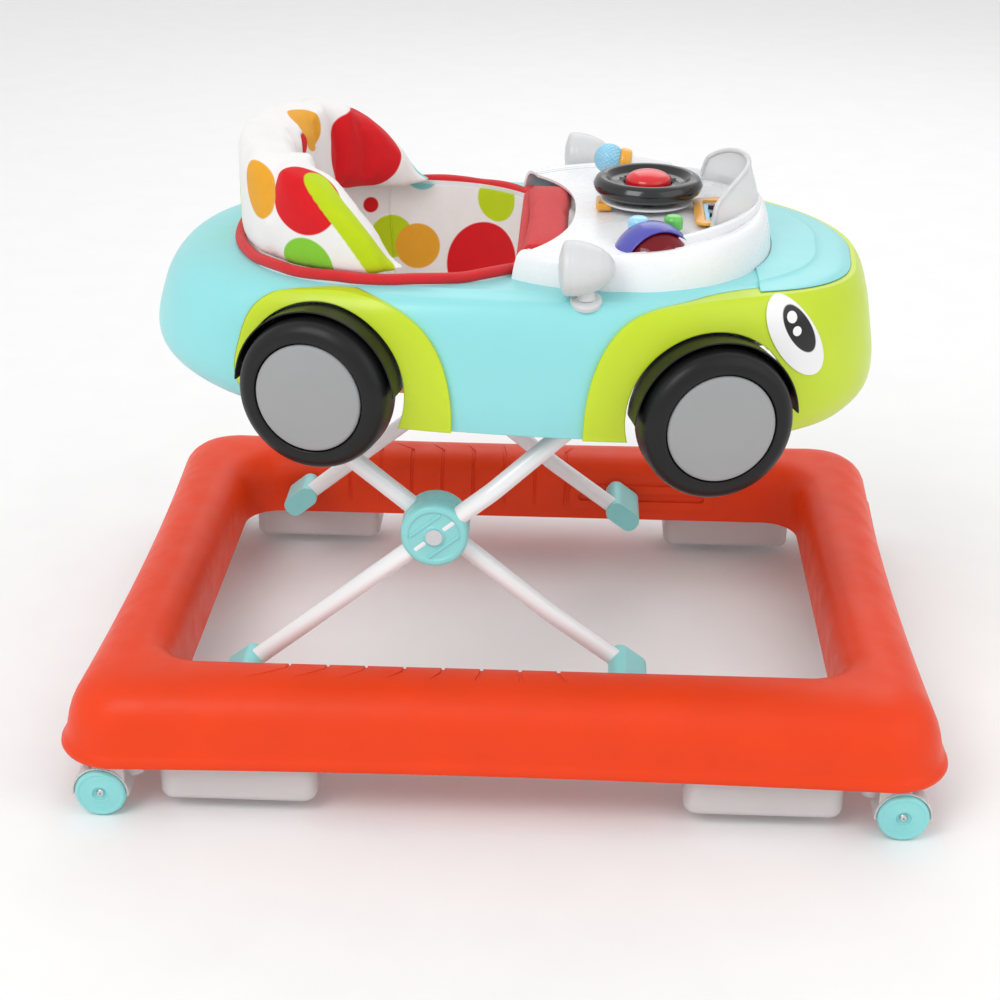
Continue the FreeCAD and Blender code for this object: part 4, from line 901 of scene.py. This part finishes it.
def dashboard_tray():
    """Dashboard with a rolled shoulder and a shallow tray, hollowed round the seat's front."""
    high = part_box("console")[1]
    middle = Vector((high.x - TRAY_HALF_X, 0, 0))
    rise = math.tan(math.radians(TRAY_SLOPE))
    front_height = high.z - TRAY_FOOT - TRAY_HALF_X * rise

    def place(u, v):
        turn = 2 * math.pi * u
        share, scale = spline(TRAY_ROWS, v)
        cosine, sine = math.cos(turn), math.sin(turn)
        x = math.copysign(abs(cosine) ** (2 / TRAY_POWER), cosine) * TRAY_HALF_X * scale
        y = math.copysign(abs(sine) ** (2 / TRAY_POWER), sine) * TRAY_HALF_Y * scale
        return Vector((middle.x + x, y, TRAY_FOOT + share * front_height + x * rise))

    tray = surface("dashboard_tray", 144, 52, place, 60)
    low_egg = [egg(2 * math.pi * k / 96, 0.0135) for k in range(97)]

    def wall(u, v):
        point = low_egg[round(u * 96)].copy()
        level = round(v * 3)
        if level in (0, 3):
            point.x, point.y = SEAT_X, 0
        point.z = 0.36 if level < 2 else 0.50
        return point

    tool = surface("tool", 96, 3, wall)
    modify(tray, "BOOLEAN", operation="DIFFERENCE", object=tool, solver="EXACT")
    bpy.data.objects.remove(tool)
    modify(tray, "SOLIDIFY", thickness=TRAY_WALL, offset=-1)
    done(settle(tray, 45), "car", finish("dash_white"), ["console"])


def dashboard_wall():
    """Raised wall round the front of the dashboard, which the windscreen stands in."""
    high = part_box("console")[1]
    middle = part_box("steering_wheel")[0].x + 0.020
    reach = math.radians(82)
    stations = []
    for k in range(81):
        share = k / 80
        turn = reach * (2 * share - 1)
        rise = 0.012 * (1 - abs(2 * share - 1) ** 3)
        x = middle + (high.x - middle - 0.013) * math.cos(turn)
        y = (high.y - 0.030) * math.sin(turn)
        foot = Vector((x, y, high.z - 0.020))
        stations.append((foot, Vector((x - 0.002, y * 0.99, high.z - 0.005 + rise * 0.8))))
    wall = strip("dashboard_wall", stations, 0.0065)
    modify(wall, "SMOOTH", factor=0.5, iterations=2)
    done(settle(wall, 60), "car", finish("dash_white"))


def steering():
    """Rim, dished centre and ribbed grip, with the collar and column under them."""
    low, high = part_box("steering_wheel")
    centre = Vector(((low.x + high.x) / 2, (low.y + high.y) / 2, 0))
    outer = (high.x - low.x) / 2
    top = high.z
    rim = [(0.0215, top - 0.0060), (0.0225, top - 0.0068), (0.027, top - 0.0072),
           (outer - 0.0155, top - 0.0060),
           (outer - 0.0135, top - 0.0040), (outer - 0.0105, top - 0.0008), (outer - 0.0070, top),
           (outer - 0.0028, top - 0.0022), (outer, top - 0.0075), (outer - 0.0018, top - 0.0130),
           (outer - 0.0062, top - 0.0160), (outer - 0.0120, top - 0.0158), (0.030, top - 0.0165),
           (0.024, low.z), (0.006, low.z), (0.006, low.z + 0.006), (0.0205, low.z + 0.0085),
           (0.0205, top - 0.0075), (0.0215, top - 0.0060)]
    pieces = [lathe("steering_rim", rounded(rim, 0.0015, 3), centre, (0, 0, 1), 96)]
    for k in range(24):
        turn = 2 * math.pi * k / 24
        if abs(math.sin(turn * 2)) < 0.75:
            continue
        stud = lathe("stud", [(0, -0.001), (0.0011, -0.001), (0.0010, 0.0005), (0.0006, 0.0009), (0, 0.001)],
                     centre + Vector((0.0275 * math.cos(turn), 0.0275 * math.sin(turn), top - 0.0072)),
                     (0, 0, 1), 10)
        pieces.append(stud)
    done(joined("steering_rim", pieces), "steering", finish("toy_black"),
         ["steering_wheel"])
    low_horn, high_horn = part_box("horn_button")
    radius = (high_horn.x - low_horn.x) / 2
    foot, crown = low_horn.z, high_horn.z
    dome = [(0, foot), (radius, foot), (radius, foot + 0.0030)]
    dome += [(radius * math.cos(math.radians(a)),
              foot + 0.003 + (crown - foot - 0.003) * math.sin(math.radians(a)))
             for a in range(6, 90, 7)] + [(0, crown)]
    horn = lathe("horn_dome", dome, centre, (0, 0, 1), 72, 50)
    done(horn, "horn", finish("toy_red"), ["horn_button"])
    low_column, high_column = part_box("steering_column")
    seat = low.z
    column = [(0, low_column.z), (0.0195, low_column.z), (0.0195, seat - 0.0030), (0.0180, seat - 0.0008),
              (0.0058, seat - 0.0008), (0.0055, high_column.z - 0.001), (0, high_column.z)]
    done(lathe("column_drum", rounded(column, 0.0015, 3), centre, (0, 0, 1), 72), "car",
         finish("toy_black"), ["steering_column"])
    collar = [(0.0225, seat - 0.0040), (0.0330, seat - 0.0045), (0.0400, seat - 0.0025),
              (0.0415, seat - 0.0005),
              (0.0400, seat - 0.0002), (0.0225, seat - 0.0006), (0.0225, seat - 0.0040)]
    done(lathe("column_collar", rounded(collar, 0.001, 2), centre, (0, 0, 1), 72), "car",
         finish("dash_white"))
    tab = box_piece("column_tab", (centre.x - 0.045, -0.018, seat - 0.0085),
                    (centre.x - 0.031, 0.010, seat - 0.0015), 0.0025)
    done(tab, "car", finish("toy_orange"))


def toy_dome():
    """Clear dome over a dark drum, with a saddle that carries two keys."""
    low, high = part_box("toy_dome")
    foot = Vector(((low.x + high.x) / 2, (low.y + high.y) / 2, low.z))
    radius = (high.x - low.x) / 2
    height = high.z - low.z
    arc = [(radius * math.cos(math.radians(a)), height * math.sin(math.radians(a))) for a in range(0, 90, 6)]
    shell = lathe("dome_glass", [(radius, -0.002)] + arc + [(0, height)], foot, (0, 0, 1), 96, 60)
    modify(shell, "SOLIDIFY", thickness=0.0016, offset=-1)
    for node in ("blue_button", "green_button"):
        key_low, key_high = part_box(node)
        middle = (key_low + key_high) / 2
        deselect()
        bpy.ops.mesh.primitive_cylinder_add(radius=(key_high.x - key_low.x) / 2 + 0.0004, depth=0.05,
                                            vertices=48, location=middle)
        tool = bpy.context.object
        modify(shell, "BOOLEAN", operation="DIFFERENCE", object=tool, solver="EXACT")
        bpy.data.objects.remove(tool)
    done(settle(shell, 60), "car", finish("dome_red"), ["toy_dome"])
    drum = [(0, 0.001), (radius * 0.86, 0.001), (radius * 0.80, 0.006), (radius * 0.62, 0.012),
            (radius * 0.40, 0.0135), (0, 0.0135)]
    inner = lathe("dome_drum", drum, foot, (0, 0, 1), 16, 12)
    done(inner, "car", finish("toy_red"))
    for number, (turn, size) in enumerate(((-68, 0.0042), (-40, 0.0036), (-96, 0.0030))):
        angle = math.radians(turn)
        spot = foot + Vector((radius * 0.70 * math.cos(angle), radius * 0.70 * math.sin(angle), 0.0110))
        slope = Vector((math.cos(angle) * 0.6, math.sin(angle) * 0.6, 0.8))
        mark = lathe(f"dome_mark_{number}", [(0, 0), (size, 0), (size, 0.0006), (0, 0.0008)],
                     spot, slope, 3 + number)
        done(mark, "car", finish("dash_white"))
    cover = [(radius + 0.0008, 0.0)] + [(r + 0.0010, h + 0.0010) for r, h in arc[1:]] + [(0, height + 0.0010)]
    saddle = lathe("dome_saddle", cover, foot, (0, 0, 1), 128, 60)
    only(saddle)
    bpy.ops.object.mode_set(mode="EDIT")
    bpy.ops.mesh.select_all(action="SELECT")
    window = Vector((-0.42, 0.90, 0.10)).normalized()
    bpy.ops.mesh.bisect(plane_co=foot - window * 0.011, plane_no=window, clear_inner=True)
    bpy.ops.object.mode_set(mode="OBJECT")
    modify(saddle, "SOLIDIFY", thickness=0.0014, offset=1)
    modify(saddle, "BEVEL", width=0.0004, segments=2, limit_method="ANGLE")
    settle(saddle, 50)
    done(saddle, "car", finish("toy_purple"), ["toy_cap"])
    for node, body, slot in (("blue_button", "blue_key", "toy_blue"),
                             ("green_button", "green_key", "toy_green")):
        key_low, key_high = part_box(node)
        middle = (key_low + key_high) / 2
        size = (key_high.x - key_low.x) / 2
        rise = key_high.z - key_low.z
        cap = [(0, 0), (size, 0), (size, rise - 0.0035), (size - 0.0014, rise - 0.0012),
               (size * 0.55, rise - 0.0002), (0, rise)]
        key = lathe(f"{body}_cap", rounded(cap, 0.001, 3), Vector((middle.x, middle.y, key_low.z)),
                    (0, 0, 1), 48)
        done(key, body, finish(slot), [node])


def picture_frame():
    """Frame with a small car in relief behind its window."""
    low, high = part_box("picture_frame")
    border = softened("frame_border", "picture_frame", 0.0009, 5)
    done(border, "car", finish("toy_orange"), ["picture_frame"])
    middle = (low + high) / 2
    level = high.z - 0.0042
    half_x, half_y = (high.x - low.x) / 2 - 0.0088, (high.y - low.y) / 2 - 0.0098
    scene = box_piece("frame_backing", (middle.x - half_x, middle.y - half_y, level - 0.0020),
                      (middle.x + half_x, middle.y + half_y, level), 0.0006, 2)
    done(scene, "car", finish("toy_blue"))
    length = half_y * 1.35
    hull = box_piece("hull", (middle.x - 0.0065, middle.y - length / 2, level),
                     (middle.x + 0.0035, middle.y + length / 2, level + 0.0030), 0.0012)
    cabin = box_piece("cabin", (middle.x + 0.0030, middle.y - length * 0.28, level),
                      (middle.x + 0.0095, middle.y + length * 0.22, level + 0.0028), 0.0014)
    done(joined("frame_car", [hull, cabin]), "car", finish("toy_red"))
    hubs = [lathe("hub", [(0, 0), (0.0034, 0), (0.0034, 0.0034), (0.0022, 0.0040), (0, 0.0040)],
                  Vector((middle.x - 0.0070, middle.y + place * length, level)), (0, 0, 1), 20)
            for place in (-0.29, 0.29)]
    done(joined("frame_car_wheels", hubs), "car", finish("toy_black"))


def microphone():
    """Toy microphone lying on the dashboard: a netted head, a band and a handle."""
    low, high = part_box("microphone")
    head = Vector((low.x + 0.0140, (low.y + high.y) / 2, high.z - 0.0140))
    tail = Vector((high.x, head.y, head.z - 0.009))
    ahead = (tail - head).normalized()
    ball = [(0.0132 * math.sin(math.radians(a)), -0.0132 * math.cos(math.radians(a)))
            for a in range(0, 150, 10)]
    core = lathe("microphone_head", ball + [(0.0075, 0.0130)], head, ahead, 40, 60)
    net = duplicate(core, "net")
    only(net)
    modify(net, "DECIMATE", decimate_type="UNSUBDIV", iterations=1)
    modify(net, "WIREFRAME", thickness=0.0012, use_boundary=True)
    done(joined("microphone_head", [core, net]), "car", finish("toy_blue"), ["microphone"])
    band = [(0, 0.0095), (0.0108, 0.0095), (0.0120, 0.0120), (0.0116, 0.0185), (0.0098, 0.0200),
            (0, 0.0200)]
    collar = lathe("microphone_band", rounded(band, 0.001, 3), head, ahead, 48)
    done(collar, "car", finish("toy_orange"))
    reach = (tail - head).length
    handle = lathe("microphone_handle", rounded([(0, 0.019), (0.0090, 0.019), (0.0082, reach - 0.006),
                                                 (0.0060, reach), (0, reach)], 0.002, 3), head, ahead, 40)
    done(handle, "car", finish("dash_white"))


def mirror(side, sign):
    """Domed mirror head with a flat glass in a stepped rim."""
    low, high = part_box(f"mirror_head_{side}")
    middle = Vector((low.x, (low.y + high.y) / 2, (low.z + high.z) / 2))
    radius = (high.z - low.z) / 2
    depth = high.x - low.x
    profile = [(0, -0.0040), (radius * 0.45, -0.0033), (radius * 0.78, -0.0012), (radius * 0.90, 0.0),
               (radius * 0.965, 0.0012), (radius, 0.0048), (radius * 0.985, 0.0060), (radius * 0.985, 0.0070),
               (radius * 0.995, 0.0078), (radius * 0.97, depth * 0.34), (radius * 0.88, depth * 0.52),
               (radius * 0.72, depth * 0.72), (radius * 0.50, depth * 0.88), (radius * 0.26, depth * 0.97),
               (0, depth)]
    head = lathe(f"mirror_{side}", rounded(profile, 0.0012, 3), middle, (1, 0, 0), 80, 50)
    done(head, f"mirror_{side}", finish("mirror_grey"), [f"mirror_head_{side}"])
    stalk_low, stalk_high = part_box("mirror_stalks")
    place = Vector(((stalk_low.x + stalk_high.x) / 2, sign * (stalk_high.y - 0.013), 0.4245))
    slope = Vector((0, sign * 0.32, 1)).normalized()
    foot = [(0, -0.004), (0.0125, -0.004), (0.0130, 0.0004), (0.0118, 0.0018), (0.0088, 0.0024), (0, 0.0026)]
    disc = lathe(f"stalk_{side}", rounded(foot, 0.001, 3), place, slope, 56)
    neck = [(0, 0), (0.0088, 0.0010), (0.0070, 0.0040), (0.0064, 0.0100),
            (0.0074, high.z - 2 * radius - 0.4205), (0, high.z - 2 * radius - 0.4195)]
    post = lathe("neck", rounded(neck, 0.002, 3), place, (0, 0, 1), 40)
    stem = joined(f"mirror_stalk_{side}", [disc, post])
    done(stem, "car", finish("mirror_grey"), ["mirror_stalks"])


class WALKER_OT_dashboard(bpy.types.Operator):
    """Build the dashboard with its wheel, dome, picture frame, microphone, screen and mirrors"""

    bl_idname = "walker.dashboard"
    bl_label = "Dashboard"

    def execute(self, context):
        dashboard_tray()
        dashboard_wall()
        windscreen()
        steering()
        toy_dome()
        picture_frame()
        microphone()
        for side, sign in (("left", 1), ("right", -1)):
            mirror(side, sign)
        return {"FINISHED"}


# ---------------------------------------------------------------- seat

SEAT_X, SEAT_HALF_X, SEAT_HALF_Y = -0.100, 0.138, 0.150
RIM_Z = 0.430


def egg(turn, grow=0.0, power=2.3):
    """A point of the seat opening's plan; turn 0 is the front."""
    cosine, sine = math.cos(turn), math.sin(turn)
    return Vector((SEAT_X + math.copysign(abs(cosine) ** (2 / power), cosine) * (SEAT_HALF_X + grow),
                   math.copysign(abs(sine) ** (2 / power), sine) * (SEAT_HALF_Y + grow), 0))


def inflate(piece, pressure, cap, frames=20):
    """Swell a closed form as stuffed cloth, with no point moved further than cap."""
    rest = [point.co.copy() for point in piece.data.vertices]
    only(piece)
    bpy.ops.object.modifier_add(type="CLOTH")
    cloth = piece.modifiers[-1]
    cloth.settings.use_pressure = True
    cloth.settings.uniform_pressure_force = pressure
    cloth.settings.effector_weights.gravity = 0
    cloth.settings.quality = 5
    for number in range(1, frames + 1):
        bpy.context.scene.frame_set(number)
    bpy.ops.object.modifier_apply(modifier=cloth.name)
    bpy.context.scene.frame_set(1)
    for point, start in zip(piece.data.vertices, rest):
        moved = point.co - start
        if moved.length > cap:
            point.co = start + moved.normalized() * cap


# the back cushion's top edge: distance along the car, height
BACK_EDGE = [(-0.262, 0.5225), (-0.235, 0.5235), (-0.190, 0.517), (-0.168, 0.508), (-0.149, 0.497),
             (-0.131, 0.482), (-0.116, 0.466), (-0.102, 0.448), (-0.088, 0.434)]


def back_height(x):
    """Height of the back cushion's top edge at a distance along the car."""
    if x <= BACK_EDGE[0][0]:
        return BACK_EDGE[0][1]
    for (start, low), (end, high) in zip(BACK_EDGE, BACK_EDGE[1:]):
        if x <= end:
            return low + (high - low) * (x - start) / (end - start)
    return BACK_EDGE[-1][1]


def back_cushion():
    """Winged cushion round the seat's back, thick at the rear and thin at its two tips."""
    low_z = RIM_Z + 0.002
    span = math.radians(94)

    def place(u, v):
        turn = math.pi + span * (2 * u - 1)
        tip = abs(2 * u - 1)
        thick = 0.040 * (1 - 0.22 * tip ** 3)
        end = min(1, (1 - tip) * 14)
        outer = egg(turn, 0.001)
        inner = egg(turn, -thick)
        top = max(low_z + 0.010, back_height(outer.x))
        around = 2 * math.pi * v
        middle = (outer + inner) / 2
        wide = (outer - inner) / 2 * (0.35 + 0.65 * end)
        tall = (top - low_z) / 2
        power = 0.30
        across = math.copysign(abs(math.cos(around)) ** power, math.cos(around))
        upward = math.copysign(abs(math.sin(around)) ** power, math.sin(around))
        point = middle + wide * across
        fold = 0.0032 * math.sin(turn * 17) * math.exp(-((tip - 0.52) / 0.16) ** 2)
        point += (outer - inner).normalized() * fold * (1.2 + upward)
        point.z = low_z + tall + tall * upward * (0.4 + 0.6 * end)
        return point

    cushion = surface("back_cushion_cover", 150, 40, place, 70)
    only(cushion)
    bpy.ops.object.mode_set(mode="EDIT")
    bpy.ops.mesh.select_all(action="DESELECT")
    bpy.ops.mesh.select_non_manifold()
    bpy.ops.mesh.edge_face_add()
    bpy.ops.mesh.select_all(action="SELECT")
    bpy.ops.mesh.normals_make_consistent(inside=False)
    bpy.ops.object.mode_set(mode="OBJECT")
    modify(cushion, "REMESH", mode="VOXEL", voxel_size=0.0042)
    modify(cushion, "SMOOTH", factor=0.5, iterations=2)
    inflate(cushion, 4.0, sizes().puff)
    modify(cushion, "SUBSURF", levels=1, render_levels=1)
    settle(cushion, 70)
    done(cushion, "car", finish("seat_fabric"), ["back_cushion"])


# depth under the rim, share of the opening's size, shift to the front
SLING = [(0.0, 0.985, 0.0), (0.035, 0.955, 0.0), (0.075, 0.88, 0.003), (0.105, 0.74, 0.008),
         (0.123, 0.52, 0.012), (0.129, 0.20, 0.014), (0.130, 0.0, 0.014)]


def bag_point(u, v):
    """A point of the seat bag: share of the way round from the front, share of the way down."""
    turn = 2 * math.pi * u
    depth, scale, shift = spline(SLING, v)
    plan = egg(turn, -0.004)
    x = SEAT_X + (plan.x - SEAT_X) * scale + shift
    ripple = 0.0012 * math.sin(turn * 9 + v * 5) * math.sin(math.pi * v)
    return Vector((x + ripple, plan.y * scale, RIM_Z - 0.001 - depth + 0.002 * math.sin(turn * 5) * v))


def side_seams():
    """Raised seam down each side of the bag, behind the middle of the opening."""
    seams = []
    for share in (0.275, 0.725):
        points = []
        for step in range(10):
            point = bag_point(share, 0.03 + 0.055 * step)
            inward = Vector((SEAT_X - point.x, -point.y, 0)).normalized()
            points.append(point + inward * 0.0004)
        seams.append(pipe("seam", points, 0.0009, 10))
    done(joined("side_seams", seams), "car", finish("seat_fabric"))


def sling():
    """Sewn bag of the seat with two leg holes."""
    bag = surface("seat_bag", 120, 36, bag_point, 70)
    only(bag)
    for sign in (-1, 1):
        bpy.ops.mesh.primitive_cylinder_add(radius=0.036, depth=0.07, vertices=48,
                                            location=(SEAT_X + 0.056, sign * 0.056, 0.288))
        tool = bpy.context.object
        tool.rotation_euler = (sign * 0.15, -0.25, 0)
        modify(bag, "BOOLEAN", operation="DIFFERENCE", object=tool, solver="EXACT")
        bpy.data.objects.remove(tool)
    modify(bag, "SOLIDIFY", thickness=0.0028, offset=1)
    settle(bag, 70)
    done(bag, "car", finish("seat_fabric"), ["seat_sling"])


def piping():
    """Red binding round the seat's rim."""
    points = []
    for k in range(48):
        point = egg(2 * math.pi * k / 48, 0.0035)
        point.z = RIM_Z + 0.0012 + 0.0006 * math.sin(k * 1.9)
        points.append(point)
    cord = pipe("seat_piping", points, sizes().piping, 14, closed=True, steps=4)
    done(cord, "car", finish("trim_red"))


def front_band():
    """Red binding straight across the seat's front."""
    points = [Vector((0.008, y, 0.4300 + 0.0010 * math.sin(y * 90))) for y in
              (-0.130, -0.115, -0.070, -0.025, 0.025, 0.070, 0.115, 0.130)]
    band = pipe("front_band", points, 0.0056, 14)
    done(band, "car", finish("trim_red"))


def front_flap():
    """Spotted flap of cotton in front of the pad."""
    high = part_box("front_pad")[1]
    width = 0.165
    reach = 0.024

    def place(u, v):
        y = width * (u - 0.5) * (1 - 0.12 * v)
        wave = 0.0011 * math.sin(u * 21 + v * 3)
        return Vector((high.x - 0.006 + reach * v, y, high.z - 0.0055 - 0.009 * v ** 1.5 + wave))

    flap = surface("front_flap", 60, 14, place, 70)
    modify(flap, "SOLIDIFY", thickness=0.0018, offset=0)
    settle(flap, 70)
    done(flap, "car", finish("seat_fabric"))


def front_pad():
    """Stuffed pad in front of the seat's opening."""
    low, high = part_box("front_pad")
    pad = box_piece("front_pad_cover", low, high, 0.004, 5)
    modify(pad, "REMESH", mode="VOXEL", voxel_size=0.004)
    inflate(pad, 4.0, 0.003)
    modify(pad, "SUBSURF", levels=1, render_levels=1)
    settle(pad, 70)
    done(pad, "car", finish("trim_red"), ["front_pad"])


class WALKER_OT_seat(bpy.types.Operator):
    """Sew the seat: bag, back cushion, front pad and piping"""

    bl_idname = "walker.seat"
    bl_label = "Seat"

    def execute(self, context):
        sling()
        side_seams()
        back_cushion()
        front_pad()
        front_band()
        front_flap()
        piping()
        return {"FINISHED"}


# ---------------------------------------------------------------- stage


def area_light(name, place, size, power):
    """A square lamp aimed at the middle of the walker."""
    deselect()
    bpy.ops.object.light_add(type="AREA", location=place)
    lamp = bpy.context.object
    lamp.name = name
    lamp.data.size = size
    lamp.data.energy = power
    aim = Vector((0, 0, 0.25)) - Vector(place)
    lamp.rotation_euler = aim.to_track_quat("-Z", "Y").to_euler()


class WALKER_OT_stage(bpy.types.Operator):
    """Set out the floor, the lights and the camera"""

    bl_idname = "walker.stage"
    bl_label = "Stage"

    def execute(self, context):
        deselect()
        bpy.ops.mesh.primitive_plane_add(size=16, location=(0, 0, 0))
        floor = bpy.context.object
        floor.name = "studio_floor"
        floor.data.materials.append(moulded("floor_pale", (0.92, 0.92, 0.92), 0.8, 40, 0.02, 0.01, 0))
        world = bpy.data.worlds.new("studio_air")
        context.scene.world = world
        world.use_nodes = True
        background = world.node_tree.nodes["Background"]
        background.inputs["Color"].default_value = (1, 1, 1, 1)
        background.inputs["Strength"].default_value = 0.80
        context.scene.view_settings.view_transform = "Standard"
        area_light("key_light", (-1.3, -1.9, 2.5), 1.5, 30)
        area_light("fill_light", (1.9, -1.2, 1.6), 2.0, 9)
        area_light("back_light", (0.4, 2.2, 2.2), 2.0, 14)
        deselect()
        bpy.ops.object.camera_add(location=(0.0557, -1.6254, 0.9164))
        camera = context.object
        camera.name = "view_camera"
        turn = (Matrix.Rotation(math.radians(2.43), 3, "Z")
                @ Matrix.Rotation(math.radians(90 - 24.78), 3, "X")
                @ Matrix.Rotation(math.radians(0.42), 3, "Z"))
        camera.rotation_euler = turn.to_euler()
        camera.data.lens = 68.4
        camera.data.sensor_width = 36
        context.scene.camera = camera
        return {"FINISHED"}


# ---------------------------------------------------------------- panel and run

BUILD_ORDER = (WALKER_OT_stage, WALKER_OT_base, WALKER_OT_casters, WALKER_OT_scissor, WALKER_OT_body,
               WALKER_OT_wheels, WALKER_OT_dashboard, WALKER_OT_seat)


class WALKER_PT_panel(bpy.types.Panel):
    """Lists the walker's pieces, sizes and colours"""

    bl_idname = "WALKER_PT_panel"
    bl_label = "Baby walker"
    bl_space_type = "VIEW_3D"
    bl_region_type = "UI"
    bl_category = "Walker"

    def draw(self, context):
        for step in BUILD_ORDER:
            self.layout.operator(step.bl_idname)
        for group in (context.scene.walker_sizes, context.scene.walker_colours):
            for name in group.__annotations__:
                self.layout.prop(group, name)


CLASSES = (WalkerColours, WalkerSizes, *BUILD_ORDER, WALKER_PT_panel)


def register():
    """Add the walker's classes and settings to Blender."""
    for kind in CLASSES:
        bpy.utils.register_class(kind)
    bpy.types.Scene.walker_colours = PointerProperty(type=WalkerColours)
    bpy.types.Scene.walker_sizes = PointerProperty(type=WalkerSizes)


def unregister():
    """Take the walker's classes and settings out of Blender."""
    del bpy.types.Scene.walker_sizes
    del bpy.types.Scene.walker_colours
    for kind in reversed(CLASSES):
        bpy.utils.unregister_class(kind)


def main():
    """Run every step."""
    register()
    for step in BUILD_ORDER:
        group, name = step.bl_idname.split(".")
        getattr(getattr(bpy.ops, group), name)()


if __name__ == "__main__":
    main()
